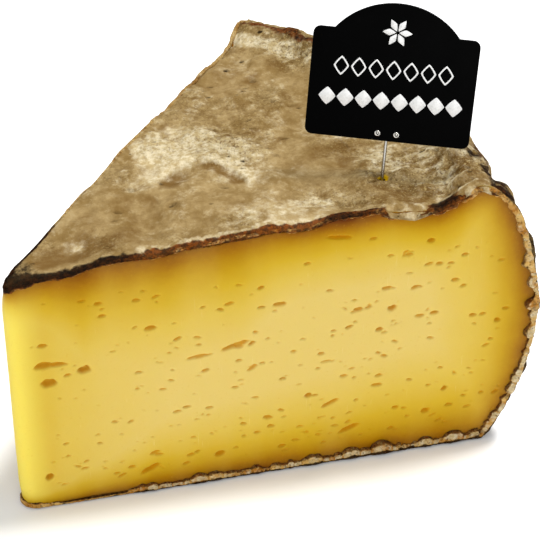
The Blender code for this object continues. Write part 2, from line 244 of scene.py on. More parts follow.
def rim_radius(level, angle):
    """Radius of the outer rind: widest at the belly, dropping in by powers of the way up or down."""
    above = limited((level - BELLY_LEVEL) / (1.0 - BELLY_LEVEL))
    below = limited((BELLY_LEVEL - level) / BELLY_LEVEL)
    top_drop = TOP_DROP_FRONT + (TOP_DROP_BACK - TOP_DROP_FRONT) * smoothstep(0.08, 0.45, angle)
    fall = TOP_SLOPE_SHARE * above**TOP_SLOPE_POWER + (1.0 - TOP_SLOPE_SHARE) * above**TOP_CORNER_POWER
    return WHEEL_RADIUS - top_drop * fall - BOTTOM_DROP * below**BOTTOM_POWER


print("rim's radius at base, belly and top:", rim_radius(np.array([0.0, BELLY_LEVEL, 1.0]), 0.0).round(1))

# %% Nose and the line of the cuts
def nose_shape(level):
    """Reach of the nose to the left of the wheel's middle, and its rounding."""
    under_top = smoothstep(1.0, 0.86, level)
    near_base = smoothstep(0.12, 0.0, level)
    reach = NOSE_REACH_TOP + (NOSE_REACH_MIDDLE - NOSE_REACH_TOP) * under_top
    reach = reach + (NOSE_REACH_BOTTOM - NOSE_REACH_MIDDLE) * near_base
    return reach, NOSE_RADIUS_TOP + (NOSE_RADIUS - NOSE_RADIUS_TOP) * under_top


class CutLine:
    """The line that the two cuts and the nose make in plan, at one or many levels.

    The way along it is 0 at the nose's middle, positive along the front cut, negative along the back.
    """

    def __init__(self, level):
        self.reach, self.radius = nose_shape(level)
        far = rim_radius(level, np.full_like(level, WEDGE_ANGLE))
        corner_x = far * math.cos(WEDGE_ANGLE)
        corner_y = far * math.sin(WEDGE_ANGLE)
        self.slope = np.arctan2(corner_y, corner_x + self.reach)
        self.tangent = self.radius / np.tan(self.slope / 2.0)
        self.half_nose = self.radius * (np.pi - self.slope) / 2.0
        run = np.hypot(corner_x + self.reach, corner_y) - self.tangent
        self.front_end = self.half_nose + rim_radius(level, 0.0 * level) - self.tangent + self.reach
        self.back_run = run
        self.back_end = -self.half_nose - run

    def at(self, way):
        """Places and outward normals: a straight line, an arc round the nose and a line that flares."""
        turn = self.slope / 2.0 + np.pi + way / self.half_nose * (np.pi - self.slope) / 2.0
        front = way - self.half_nose + self.tangent - self.reach
        arc_x = self.tangent - self.reach + self.radius * np.cos(turn)
        arc_y = self.radius * (1.0 + np.sin(turn))
        run = -way - self.half_nose
        flare = BACK_FLARE * np.clip(run / self.back_run, 0.0, 1.1) ** 5
        back_x = (self.tangent + run) * np.cos(self.slope) - self.reach - flare * np.sin(self.slope)
        back_y = (self.tangent + run) * np.sin(self.slope) + flare * np.cos(self.slope)
        on_front = way > self.half_nose
        on_back = way < -self.half_nose
        x = np.where(on_front, front, np.where(on_back, back_x, arc_x))
        y = np.where(on_front, 0.0, np.where(on_back, back_y, arc_y))
        normal_x = np.where(on_front, 0.0, np.where(on_back, -np.sin(self.slope), np.cos(turn)))
        normal_y = np.where(on_front, -1.0, np.where(on_back, np.cos(self.slope), np.sin(turn)))
        return stack(x, y, 0.0), stack(normal_x, normal_y, 0.0)


middle_line = CutLine(np.array([0.5]))
print("front cut is", middle_line.front_end.round(1), "mm and back cut", -middle_line.back_end.round(1))

# %% [markdown]
# ## From arrays to meshes
#
# Every piece here is a stack of rings, each ring a closed row of points: a plate's outline, a slice
# of rind, a ring round the crust. One helper joins neighbouring rings with four-sided faces, closes
# the ends, turns all faces outwards and stores extra numbers that the finishes read, such as how
# near a point is to the rind. Turning is settled by the enclosed volume, negative when inside out.

# %% Ring mesh helper
made_pieces = []


def ring_faces(ring_count, point_count, closed):
    """Four corner numbers for each face between neighbouring rings."""
    ring = np.arange(ring_count if closed else ring_count - 1)[:, None]
    point = np.arange(point_count)[None, :]
    here = ring * point_count
    after = (ring + 1) % ring_count * point_count
    right = (point + 1) % point_count
    return np.stack([here + point, here + right, after + right, after + point], axis=-1).reshape(-1, 4)


def enclosed_volume(points, triangles):
    """A sixth of the sum of each triangle's triple product."""
    a, b, c = (points[triangles[:, corner]] for corner in range(3))
    return np.einsum("ij,ij->i", a, np.cross(b, c)).sum() / 6.0


def ring_piece(name, rings, finish, closed=False, extras=None, smooth=True):
    """Makes a closed piece from rings of points in wedge millimetres and places it in the frame."""
    ring_count, point_count = rings.shape[:2]
    points = rings.reshape(-1, 3)
    quads = ring_faces(ring_count, point_count, closed)
    caps = []
    if not closed:
        caps = [np.arange(point_count)[::-1], np.arange(point_count) + (ring_count - 1) * point_count]
    halves = [quads[:, [0, 1, 2]], quads[:, [0, 2, 3]]]
    fans = [np.stack([np.full(len(c) - 2, c[0]), c[1:-1], c[2:]], axis=1) for c in caps]
    if enclosed_volume(points, np.concatenate(halves + fans)) < 0.0:
        quads = quads[:, ::-1]
        caps = [cap[::-1] for cap in caps]
    corners = np.concatenate([quads.ravel()] + caps)
    sizes = np.array([4] * len(quads) + [len(cap) for cap in caps])
    placed = (points + wheel_middle) * MM
    limit_low = np.array(cad_low) + 0.00001
    limit_high = np.array(cad_high) - 0.00001
    placed = np.clip(placed, limit_low, limit_high)
    mesh = bpy.data.meshes.new(name)
    mesh.vertices.add(len(placed))
    mesh.vertices.foreach_set("co", placed.astype(np.float32).ravel())
    mesh.loops.add(len(corners))
    mesh.loops.foreach_set("vertex_index", corners.astype(np.int32))
    mesh.polygons.add(len(sizes))
    mesh.polygons.foreach_set("loop_start", np.concatenate([[0], np.cumsum(sizes)[:-1]]).astype(np.int32))
    mesh.update(calc_edges=True)
    if smooth:
        mesh.shade_smooth()
    store_extras(mesh, extras or {})
    piece = bpy.data.objects.new(name, mesh)
    bpy.context.scene.collection.objects.link(piece)
    mesh.materials.append(finish)
    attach(piece, "root")
    made_pieces.append(piece)
    return piece


def store_extras(mesh, extras):
    """Stores each array as one number for each point."""
    for label, values in extras.items():
        kept = mesh.attributes.new(label, "FLOAT", "POINT")
        kept.data.foreach_set("value", np.asarray(values, dtype=np.float32).ravel())


def piece_points(piece):
    """The piece's points in wedge millimetres."""
    flat = np.empty(len(piece.data.vertices) * 3, dtype=np.float32)
    piece.data.vertices.foreach_get("co", flat)
    return flat.reshape(-1, 3).astype(float) / MM - wheel_middle


def thin_out(piece, faces_kept):
    """Takes out triangles where the surface is nearly flat, and keeps the result as the piece's mesh."""
    faces = sum(len(polygon.vertices) - 2 for polygon in piece.data.polygons)
    fewer = piece.modifiers.new("fewer_faces", "DECIMATE")
    fewer.ratio = min(1.0, faces_kept / faces)
    graph = bpy.context.evaluated_depsgraph_get()
    lighter = bpy.data.meshes.new_from_object(piece.evaluated_get(graph))
    piece.modifiers.clear()
    piece.data = lighter
    lighter.shade_smooth()
    return piece_points(piece)


print("two rings of four points give", len(ring_faces(2, 4, False)), "faces")

# %% [markdown]
# ## Shader maths as sums
#
# A finish is a small calculation at every point of a surface. Blender draws it as nodes, and this
# class lets it be written as ordinary sums: adding, taking away or multiplying wires adds Math nodes.
# Every other node goes through one method, which takes its type, its settings and its inputs.

# %% Shader helper
class Wire:
    """One output of a node; sums on it add Math nodes."""

    def __init__(self, tree, socket=None):
        self.tree = tree
        self.socket = socket

    def node(self, kind, settings=None, values=None, output=0):
        """Adds a node: first its settings or ramp stops, then the values or wires of its inputs."""
        made = self.tree.nodes.new(kind)
        for name, setting in (settings or {}).items():
            if name == "stops":
                ramp = made.color_ramp
                while len(ramp.elements) < len(setting):
                    ramp.elements.new(0.5)
                for stop, (place, colour) in zip(ramp.elements, setting):
                    stop.position = place
                    stop.color = colour
            else:
                setattr(made, name, setting)
        for key, value in (values or {}).items():
            if isinstance(value, Wire):
                self.tree.links.new(value.socket, made.inputs[key])
            else:
                made.inputs[key].default_value = value
        return Wire(self.tree, made.outputs[output])

    def maths(self, operation, *values):
        """A Math node of an operation on up to three values."""
        return self.node("ShaderNodeMath", {"operation": operation}, dict(enumerate(values)))

    def __add__(self, other):
        return self.maths("ADD", self, other)

    def __sub__(self, other):
        return self.maths("SUBTRACT", self, other)

    def __mul__(self, other):
        return self.maths("MULTIPLY", self, other)

    def between(self, low, high):
        """0 below low and 1 above high, eased between them."""
        steps = {"Value": self, "From Min": low, "From Max": high}
        return self.node("ShaderNodeMapRange", {"interpolation_type": "SMOOTHSTEP"}, steps)

    def mix(self, first, second):
        """The first colour where this wire is 0 and the second where it is 1."""
        settings = {"data_type": "RGBA", "clamp_factor": True}
        return self.node("ShaderNodeMix", settings, {0: self, 6: first, 7: second}, 2)


LIGHT_LEVEL = 1.4


def paint(red, green, blue):
    """The paint that shows as a screen colour of 0 to 255 for each channel in this scene's light."""
    shares = [channel / 255.0 for channel in (red, green, blue)]
    lit = [s / 12.92 if s <= 0.04045 else ((s + 0.055) / 1.055) ** 2.4 for s in shares]
    return (*[amount / LIGHT_LEVEL for amount in lit], 1.0)


def start_finish(name, **constants):
    """A new Principled finish with its constant inputs set; gives the finish, its shader and a wire."""
    finish = bpy.data.materials.new(name)
    finish.use_nodes = True
    shader = finish.node_tree.nodes["Principled BSDF"]
    for label, value in constants.items():
        shader.inputs[label.replace("_", " ")].default_value = value
    return finish, shader, Wire(finish.node_tree)


def millimetres(wire):
    """Object coordinates as millimetres from the wheel's middle."""
    place = wire.node("ShaderNodeTexCoord", output=3)
    scaled = {"Scale": (1.0 / MM, 1.0 / MM, 1.0 / MM), "Location": tuple(-wheel_middle)}
    return wire.node("ShaderNodeMapping", {}, {"Vector": place, **scaled})


def texture(wire, place, size, detail=3.0, rough=0.55):
    """Blender's own smooth noise of a feature size in millimetres, from 0 to 1."""
    values = {"Vector": place, "Scale": 1.0 / size, "Detail": detail, "Roughness": rough}
    return wire.node("ShaderNodeTexNoise", {}, values)


def attribute(wire, label):
    """The number that a piece's points carry under a label."""
    return wire.node("ShaderNodeAttribute", {"attribute_name": label}, output=2)


def link(wire, shader, label):
    """Feeds a wire into an input of the finish's shader."""
    wire.tree.links.new(wire.socket, shader.inputs[label])


def stretched(wire, place, scale):
    """The place with each direction scaled, so that noise on it turns into bands or streaks."""
    return wire.node("ShaderNodeMapping", {}, {"Vector": place, "Scale": scale})


def bump(wire, height, distance, strength):
    """A Bump node for a height wire; distance is the relief's full depth in millimetres."""
    values = {"Height": height, "Distance": distance * MM, "Strength": strength}
    return wire.node("ShaderNodeBump", {}, values)


print("paint for a mid grey:", round(paint(128, 128, 128)[0], 3))

# %% [markdown]
# ## Paste
#
# The cut paste is nearly flat but never plain. It is palest in the middle and turns ochre, then brown,
# over the last centimetre under the rind: partly the paste's own colour, and partly painted shade right
# beside the crust. Light goes a little way into it, which softens every shadow.
# Its colour follows the distance to the nearest rind, so the mesh carries that distance and a colour
# ramp turns it into paint. Eyes are painted a deeper amber for the light that bounces about inside
# them, and the nose is painted with a lemon highlight.

# %% Paste finish
RAMP_LENGTH = 24.0
# The ramp's darkest stops, at the rind, are partly painted shade beside the crust.
PASTE_RAMP = (
    (0.00, paint(104, 48, 1)),
    (0.07, paint(148, 92, 1)),
    (0.15, paint(178, 128, 2)),
    (0.25, paint(200, 158, 20)),
    (0.38, paint(213, 176, 40)),
    (0.58, paint(223, 191, 78)),
    (0.92, paint(229, 201, 112)),
)


def make_paste_finish():
    """Blends the ramp with upright pale bands, fine scratches, a painted highlight at the nose, specks and
    eyes painted amber for the light inside them.
    """
    finish, shader, wire = start_finish(
        "paste",
        Roughness=0.42,
        Subsurface_Weight=0.25,
        Subsurface_Scale=0.003,
        Subsurface_Radius=(1.0, 0.62, 0.2),
        Subsurface_Anisotropy=0.3,
        IOR=1.42,
        Specular_IOR_Level=0.06,
    )
    place = millimetres(wire)
    depth = attribute(wire, "rind_distance")
    blur = texture(wire, place, 7.0) - 0.5
    fine = texture(wire, place, 0.9) - 0.5
    share = depth * (1.0 / RAMP_LENGTH) + blur * 0.10 + fine * 0.03
    ground = share.node("ShaderNodeValToRGB", {"stops": PASTE_RAMP}, {0: share})
    band = texture(wire, stretched(wire, place, (0.09, 0.09, 0.012)), 1.0, 2.0)
    paler = band.between(0.35, 0.75) * (share.between(0.1, 0.5) * 0.11 + 0.09)
    ground = paler.mix(ground, paint(232, 204, 116))
    scratch = texture(wire, stretched(wire, place, (2.4, 2.4, 0.16)), 1.0, 2.0)
    scratched = texture(wire, place, 8.0).between(0.5, 0.6)
    scratch = scratch.between(0.64, 0.74) * scratched * share.between(0.3, 0.6)
    ground = (scratch * 0.25).mix(ground, paint(246, 226, 160))
    # Painted highlight: a bright lemon strip down the rounded nose.
    ground = (attribute(wire, "nose") * 0.75).mix(ground, paint(253, 234, 104))
    speck = texture(wire, place, 0.55, 4.0).between(0.60, 0.72)
    ground = (speck * 0.2).mix(ground, paint(210, 164, 46))
    # Painted light: the eyes' deeper amber stands for light bouncing about inside them.
    amber = (attribute(wire, "eye").between(0.0, 0.9) * 0.72).mix(ground, paint(228, 160, 8))
    link(amber, shader, "Base Color")
    moist = texture(wire, place, 5.0)
    link(moist * 0.25 + 0.36, shader, "Roughness")
    grain = texture(wire, place, 0.35, 3.0) * 0.6 + texture(wire, place, 2.5, 2.0) * 1.4
    link(bump(wire, grain, 0.05, 0.5), shader, "Normal")
    return finish


paste_finish = make_paste_finish()
print("paste finish has", len(paste_finish.node_tree.nodes), "nodes")

# %% [markdown]
# ## The eyes
#
# The eyes are small flattened bubbles, mostly wider than tall. The large ones are placed one by one
# where the real cut has them, and each is given by its place, width, opening and tilt. A seeded draw
# then scatters the many small ones, more of them low on the cut. An eye is a dent in the surface, with
# a steep wall and a nearly flat floor, a little shorter below its middle than above.

# %% Large eyes of the front cut, and the small ones
# Each large eye: way along the cut, height, width and opening in mm, and tilt in degrees.
FRONT_EYES = (
    (43.4, 33.8, 6.8, 1.3, 14), (36.3, 32.4, 5.6, 0.9, 4), (6.2, 35.6, 3.8, 1.9, 0),
    (8.8, 35.5, 4, 1.4, -4), (7.1, 31.2, 3.4, 2.2, 0), (13.9, 33.1, 2.6, 2.1, 0),
    (25.8, 5.6, 4.4, 1.5, 28), (5.7, 7.6, 1.9, 1.9, 50), (66.7, 7.9, 5, 1.4, 20),
    (62.7, 15.5, 3.8, 1.2, 24), (63.9, 56, 5.2, 1.1, -8), (82.1, 52.2, 1.9, 1.4, 0),
    (52.2, 42.3, 2.8, 1.1, 0), (67.9, 38.1, 2.2, 1.2, 0), (74.9, 37.2, 1.9, 1.6, 0),
    (73.8, 42.3, 2.3, 1, 0), (27.1, 40.9, 2.6, 1.3, 0), (58.1, 18.4, 1.7, 1.5, 0),
    (40.1, 6.7, 2.1, 1.6, 20), (82.7, 9.5, 1.9, 1.4, 0), (72.4, 18.3, 2.6, 1, 0),
    (17.9, 45.4, 1.7, 0.9, 0), (6.3, 40.5, 2, 1.1, 0), (26.8, 9.6, 2.2, 1.1, 10),
    (72.4, 32.3, 1.8, 1.2, 0), (20, 4.9, 2.2, 0.8, 25), (48.6, 42.2, 1.8, 0.8, 0),
    (80.6, 34.4, 1.9, 0.9, 0), (91.6, 32.6, 1.7, 1, 0), (96.9, 30.4, 1.4, 1.2, 0),
    (84, 46.5, 1.6, 0.9, 0), (87.4, 42, 1.9, 0.9, 0), (77.8, 49.6, 1.7, 0.8, 0),
    (60.6, 28.6, 1.6, 0.9, 0), (55, 30.2, 1.5, 0.7, 0), (31.6, 19.4, 2, 0.8, 8), (38, 19.2, 1.8, 0.8, 0),
    (28.9, 25.6, 1.6, 0.7, 0), (33, 5.6, 1.7, 0.9, 15), (24.2, 30.6, 1.6, 0.7, 0), (44, 30, 1.6, 0.8, 0),
    (49.6, 14.4, 1.8, 1.2, 0), (61.6, 26.4, 2.8, 0.6, 3), (65.4, 22, 1.7, 0.8, 0),
    (76.4, 11.6, 1.5, 1, 0), (86.6, 14.8, 1.4, 1.2, 30), (70.6, 54.6, 1.6, 0.8, 0),
    (35.4, 8.2, 1.5, 0.8, 20),
)


def scattered_eyes(count, length, seed):
    """Seeded small eyes: places drawn over the cut, kept clear of the rind, most of them low down."""
    draw = np.random.default_rng(seed)
    along = draw.uniform(4.0, length, count)
    height = 5.0 + 46.0 * draw.uniform(0.0, 1.0, count) ** 1.35
    width = 0.6 + 1.3 * draw.uniform(0.0, 1.0, count) ** 1.8
    opening = width * draw.uniform(0.34, 0.6, count)
    tilt = draw.normal(4.0, 12.0, count)
    return np.stack([along, height, width, opening, tilt], axis=1)


def eye_dents(along, height, eyes, seed):
    """Depth of all eyes at each place, and how far into an eye it is from 0 to 1."""
    depth = np.zeros_like(along)
    inside = np.zeros_like(along)
    edge = 1.0 + 0.22 * smooth_noise(stack(along, height, seed), 0.9, seed)
    for centre, level, width, opening, tilt in eyes:
        near = np.abs(along - centre) + np.abs(height - level) < 1.6 * width + 1.5
        right, up = tilted(along[near] - centre, height[near] - level, tilt)
        up = np.where(up < 0.0, up * 1.35, up)
        away = np.hypot(right / (0.5 * width), up / (0.5 * opening)) * edge[near]
        deep = min(0.05 + 0.65 * opening, 1.7)
        depth[near] = np.maximum(depth[near], deep * smoothstep(1.12, 0.5, away))
        tinted = 0.4 + 0.6 * min(opening / 1.4, 1.0)
        inside[near] = np.maximum(inside[near], tinted * smoothstep(1.15, 0.6, away))
    return depth, inside


front_eyes = np.concatenate([np.array(FRONT_EYES), scattered_eyes(300, 99.0, 41)])
larger_eyes = scattered_eyes(26, 92.0, 43) * [1.0, 1.0, 2.0, 1.6, 1.0]
back_eyes = np.concatenate([scattered_eyes(140, 94.0, 42), larger_eyes])
print(len(front_eyes), "eyes on the front cut and", len(back_eyes), "on the back")

# %% [markdown]
# ## The rind's height
#
# The rind is the skin of a wheel that was turned and brushed for months. On top of the broad form it
# has lumps of a few millimetres, crags that look like dried mud, a curved fold, a few slits and pits.
# The named marks lie where the real rind has them. The height is one function, so that the rind, the
# torn crust and the paste under it all agree about where the surface is.

# %% Marks of the rind
# Dents and lumps: place along and across in mm, size and depth or height. Slits: place, half
# length, half width and tilt in degrees.
RIND_DENTS = (
    (27.6, 21.3, 1.6, 0.7), (22.7, 13.1, 1.4, 0.6), (34.2, 12.7, 1.3, 0.8), (61.7, 48.9, 1.6, 1),
    (59.6, 46.9, 1.2, 0.8), (64.7, 42.1, 0.9, 0.8), (68.8, 38.4, 0.9, 0.8), (73.7, 63.3, 0.8, 0.9),
    (30.4, 15.4, 3.2, 0.5), (37, 22.6, 3, 0.6), (16, 7, 3.4, 0.5), (52, 20, 3, 0.4), (69, 18.5, 2.2, 0.7),
    (73, 21.5, 2, 0.7), (46, 5.5, 3, 0.5), (83.5, 18, 2.2, 0.6),
)
RIND_SLITS = (
    (34.2, 13.4, 0.9, 0.3, 10), (28, 21.4, 1, 0.35, -35), (24, 14.6, 0.9, 0.3, -20),
    (23, 12.6, 0.6, 0.3, -30), (61.4, 44.6, 0.55, 0.5, 0), (54.8, 38.2, 0.7, 0.35, 20),
    (59.2, 53.4, 0.9, 0.6, 0), (57, 50.4, 0.6, 0.5, 0), (66, 40.6, 0.6, 0.4, 0),
    (44.9, 34.8, 0.4, 0.3, 0), (72, 58.6, 0.4, 0.35, 0), (57.6, 33, 0.8, 0.25, -25),
    (47, 36.4, 1.4, 0.25, -40), (55, 35.2, 1, 0.25, -30), (60.5, 30.5, 0.9, 0.25, -20),
    (50.6, 31.6, 0.9, 0.25, -35), (33.6, 21.4, 0.5, 0.3, 0), (41.4, 11, 0.4, 0.25, 0),
)
RIND_LUMPS = (
    (82.3, 6.4, 2.6, 1.3), (90.9, 14.4, 2.8, 1.2), (79.5, 12.5, 1.8, 0.8), (86, 10, 2.2, 0.7),
    (74.5, 17.5, 2.4, 0.6), (42, 27.5, 4, 0.6), (50, 31, 4.2, 0.6), (33.5, 31, 3.2, 0.5),
    (89, 4.5, 2.2, 0.9), (94, 8, 2, 0.8), (63, 60, 3, 0.7), (71, 66, 2.6, 0.8), (38, 43.5, 4, 0.9),
    (50.5, 58.5, 4.5, 1), (88.5, 0, 4.5, 1.2), (77, 0, 6, 0.7), (66, 0, 6, 0.8),
)
FOLD_CENTRE = (41.0, 17.5)
FOLD_RADIUS = 9.4


def slit_amount(x, y):
    """1 inside the small slits and pits of the rind: an ellipse each, with a soft edge."""
    total = np.zeros_like(x)
    for place_x, place_y, half_long, half_wide, tilt in RIND_SLITS:
        along, aside = tilted(x - place_x, y - place_y, tilt)
        total = np.maximum(total, smoothstep(1.3, 0.6, np.hypot(along / half_long, aside / half_wide)))
    return total


def fold_parts(x, y):
    """The curved fold's crest and the hollow inside it, each from 0 to 1; they shape the relief and also
    paint a highlight on the crest and shade in the hollow.
    """
    away = np.hypot(x - FOLD_CENTRE[0], (y - FOLD_CENTRE[1]) * 1.15)
    swing = np.degrees(np.arctan2(y - FOLD_CENTRE[1], x - FOLD_CENTRE[0]))
    reach = smoothstep(-20.0, 15.0, swing) * smoothstep(178.0, 150.0, swing)
    fading = 0.7 + 0.4 * smooth_noise(stack(x, y, 0.0), 4.0, 110)
    crest = np.exp(-(((away - FOLD_RADIUS - 0.5) / 1.5) ** 2))
    trough = smoothstep(FOLD_RADIUS, FOLD_RADIUS - 1.1, away)
    trough = trough * smoothstep(FOLD_RADIUS - 5.5, FOLD_RADIUS - 1.5, away)
    return reach * crest * fading, reach * trough * fading


def rind_marks(x, y):
    """Round dents and lumps, a bell each, one curved fold with a sharp inner side, and slits."""
    marks = bells(x, y, RIND_LUMPS, 0.6, 2.0) - bells(x, y, RIND_DENTS, 0.75, 1.0)
    crest, trough = fold_parts(x, y)
    return marks + 0.6 * crest - 0.7 * trough - 0.45 * slit_amount(x, y)


print(len(RIND_DENTS), "dents,", len(RIND_LUMPS), "lumps and", len(RIND_SLITS), "slits")

# %% Fine relief of the rind
# Crusty zones: place along and across, size and amount.
CRUSTY_ZONES = (
    (49, 30, 8, 1), (36, 34, 5, 0.6), (82, 9, 7, 1), (90, 13, 7, 1), (75, 12, 5, 0.7), (66, 8, 5, 0.6),
    (61, 47, 5, 0.6), (60, 11, 4, 0.4), (45, 3.5, 4, 0.6), (80, 19, 7, 0.8), (20, 5, 4, 0.5),
    (71, 61, 7, 0.6), (57, 41, 5, 0.4), (70, 26, 6, 0.5), (33, 3, 3, 0.5), (70, 4, 4, 0.6),
)


def patch_amount(points, patches, seed):
    """Sum of bells at the patches, with ragged edges from noise."""
    x = points[..., 0] + 2.4 * layered_noise(points, 4.0, seed, 3)
    y = points[..., 1] + 2.4 * layered_noise(points, 4.0, seed + 1, 3)
    return np.clip(bells(x, y, patches, 1.0, 1.3), 0.0, 1.2)


def crustiness(points):
    """0 where the rind is smooth and 1 where it is crusty: named zones, the outer edge and the sides."""
    drawn = 0.5 * smoothstep(0.15, 0.7, smooth_noise(points, 9.0, 102))
    outer = 0.7 * smoothstep(84.0, 97.0, np.hypot(points[..., 0], points[..., 1]))
    return limited(np.maximum(patch_amount(points, CRUSTY_ZONES, 107), drawn) + outer)


def round_lumps(points, size, seed):
    """Rounded lumps with sharp creases: the height of a ball about each scattered point."""
    away = 1.0 - lump_noise(points, size, seed)
    return np.sqrt(limited(1.0 - (away / 0.85) ** 2))


def rind_grains(points):
    """The crags and grains of crusty places and scattered pits, each from 0 to 1."""
    bent = points * [0.75, 1.2, 1.0] + 0.5 * layered_noise(points, 2.2, 103, 2)[..., None]
    crags = round_lumps(bent, 2.5, 104)
    grains = round_lumps(bent, 1.15, 106)
    sparse = smoothstep(-0.1, 0.4, smooth_noise(points, 8.0, 108))
    pits = smoothstep(0.74, 0.88, lump_noise(bent, 3.0, 109)) * sparse
    return crags, grains, pits


def rind_relief(points):
    """Fine height of the rind in mm: soft lumps, crags and grains where it is crusty, and pits."""
    crags, grains, pits = rind_grains(points)
    crusty = crustiness(points)
    soft = 0.34 * layered_noise(points, 6.5, 101, 3)
    coarse = crusty * (0.55 * (crags - 0.7) + 0.26 * (grains - 0.7))
    grit = 0.06 * (grains - 0.7) + 0.06 * layered_noise(points, 1.0, 105, 2)
    return soft + coarse + grit - 0.45 * pits


sample = stack([20.0, 49.0, 90.0], [10.0, 30.0, 13.0], 60.0)
print("crustiness at three places:", crustiness(sample).round(2))

# %% Pin and its place in the rind
PIN_PLACE = (75.6, 12.6, 60.3)
PIN_RADIUS = 0.32
PIT_RADIUS = 1.5
PIT_DEPTH = 1.1
EDGE_DROP = 0.6
DROP_SHARE = 0.8


def pin_distance(x, y):
    """Distance of a place from the pin, measured in plan."""
    return np.hypot(x - PIN_PLACE[0], y - PIN_PLACE[1])


def pin_pit(x, y):
    """Depth of the pit at the pin: a bell curve with a flat floor."""
    return PIT_DEPTH * np.exp(-((pin_distance(x, y) / PIT_RADIUS) ** 4))


def rind_height(x, y):
    """Full height of the top rind: broad form, named marks, fine relief and the pit at the pin."""
    base = top_height(x, y)
    return base + rind_marks(x, y) + rind_relief(stack(x, y, base)) - pin_pit(x, y)


def edge_drop(points):
    """How far the rind bends down over its last two millimetres before the front cut."""
    return EDGE_DROP * smoothstep(2.2, 0.0, points[..., 1]) * smoothstep(66.0, 50.0, points[..., 0])


edge_x = np.linspace(5.0, 90.0, 5)
print("rind height along the front cut:", rind_height(edge_x, 0.0 * edge_x).round(1))

# %% [markdown]
# ## Cut paste
#
# The paste is one closed body, as in the real wedge. Rows of points run round it at each level: along
# the front cut, round the rim, back along the second cut and round the nose. Only the cuts and the
# nose are seen, so they get the close points and the rim, which the rind hides, gets few. Flat
# stretches need far fewer faces than the eyes do, and Decimate takes the spare ones out afterwards.

# %% Rows of the paste
FRONT_STEP = 0.25
BACK_STEP = 0.5
ROW_STEP = 0.25
PASTE_BASE = 0.6
PASTE_UNDER = 0.6
PASTE_INSET = 0.12
PASTE_SHORT = 0.8
RIM_UNDER = 2.6
RIM_INSIDE = 2.6
RIM_COLUMNS = 30


def paste_rings():
    """Rings from the base to the rind: z runs between them evenly, and each ring follows the outline."""
    one = CutLine(np.array(1.0))
    front_count = int(one.front_end / FRONT_STEP)
    back_count = int(-one.back_end / BACK_STEP)
    front_share = np.linspace(0.0, 1.0, front_count)
    back_share = np.linspace(1.0, 0.0, back_count)[:-1]
    row_count = int(MIDDLE_HEIGHT / ROW_STEP)
    up = np.linspace(0.0, 1.0, row_count)[:, None]
    front_top, _ = one.at(front_share * (one.front_end - PASTE_SHORT))
    back_top, _ = one.at(back_share * (one.back_end + PASTE_SHORT))
    angle = WEDGE_ANGLE * np.linspace(0.0, 1.0, RIM_COLUMNS + 2)[1:-1]
    rim_top = stack(np.cos(angle), np.sin(angle), 0.0) * (rim_radius(1.0, angle) - RIM_INSIDE)[:, None]
    top_plan = np.concatenate([front_top, rim_top, back_top])
    edge = rind_height(top_plan[:, 0], top_plan[:, 1]) - DROP_SHARE * edge_drop(top_plan)
    edge[front_count:front_count + RIM_COLUMNS] -= RIM_UNDER - PASTE_UNDER
    height = PASTE_BASE + (edge - PASTE_UNDER - PASTE_BASE) * up
    level = height / edge
    front_part = slice(0, front_count)
    rim_part = slice(front_count, front_count + RIM_COLUMNS)
    back_part = slice(front_count + RIM_COLUMNS, None)
    line = CutLine(level[:, front_part])
    front, front_out = line.at(front_share * (line.front_end - PASTE_SHORT))
    line = CutLine(level[:, back_part])
    back, back_out = line.at(back_share * (line.back_end + PASTE_SHORT))
    reach = rim_radius(level[:, rim_part], angle) - RIM_INSIDE
    rim = stack(np.cos(angle), np.sin(angle), 0.0) * reach[..., None]
    points = np.concatenate([front, rim, back], axis=1)
    outward = np.concatenate([front_out, np.zeros_like(rim), back_out], axis=1)
    points[..., 2] = height
    return points, outward


print("the paste has rows and columns of", paste_rings()[0].shape[:2], "points")

# %% Eyes and depth under the rind
def back_distance(points):
    """Distance along the back cut from the wheel's middle."""
    return points[..., 0] * math.cos(WEDGE_ANGLE) + points[..., 1] * math.sin(WEDGE_ANGLE)


def paste_surface(points):
    """How deep the eyes are at each point of the cuts, and how far into an eye it is."""
    on_front = points[..., 1] < (points[..., 0] + NOSE_REACH_MIDDLE) * math.tan(0.5 * WEDGE_ANGLE)
    front_deep, front_in = eye_dents(points[..., 0], points[..., 2], front_eyes, 51)
    back_deep, back_in = eye_dents(back_distance(points), points[..., 2], back_eyes, 52)
    return np.where(on_front, front_deep, back_deep), np.where(on_front, front_in, back_in)


TOP_STATIONS = (0.0, 8.0, 14.0, 45.0, 56.0, 78.0, 88.0)
TOP_STRETCHES = (1.5, 1.1, 0.72, 0.82, 1.3, 1.35, 1.15)
BOTTOM_STATIONS = (4.0, 12.0, 28.0, 50.0, 66.0, 88.0)
BOTTOM_STRETCHES = (3.5, 2.0, 1.2, 1.0, 0.9, 0.75)


def rind_distance(points):
    """Distance to the nearest rind, above, below or outwards, stretched where the dark layer is thin."""
    x, y, z = np.moveaxis(points, -1, 0)
    top = top_height(x, y)
    angle = np.clip(np.arctan2(y, x), 0.0, WEDGE_ANGLE)
    outer = rim_radius(limited(z / top), angle) - np.hypot(x, y)
    radius = np.hypot(x, y)
    above = (top - z) * np.interp(radius, TOP_STATIONS, TOP_STRETCHES)
    below = z * np.interp(radius, BOTTOM_STATIONS, BOTTOM_STRETCHES)
    inner = 10.0 + 0.4 * radius
    return np.minimum(np.minimum(above, below), np.minimum(outer, inner))


print("depth under the rind in the middle of the cut:", rind_distance(stack(50.0, 0.0, 30.0)).round(1), "mm")

# %% Build the paste
PASTE_FACES_KEPT = 190000
SHUT_SHARE = 0.12


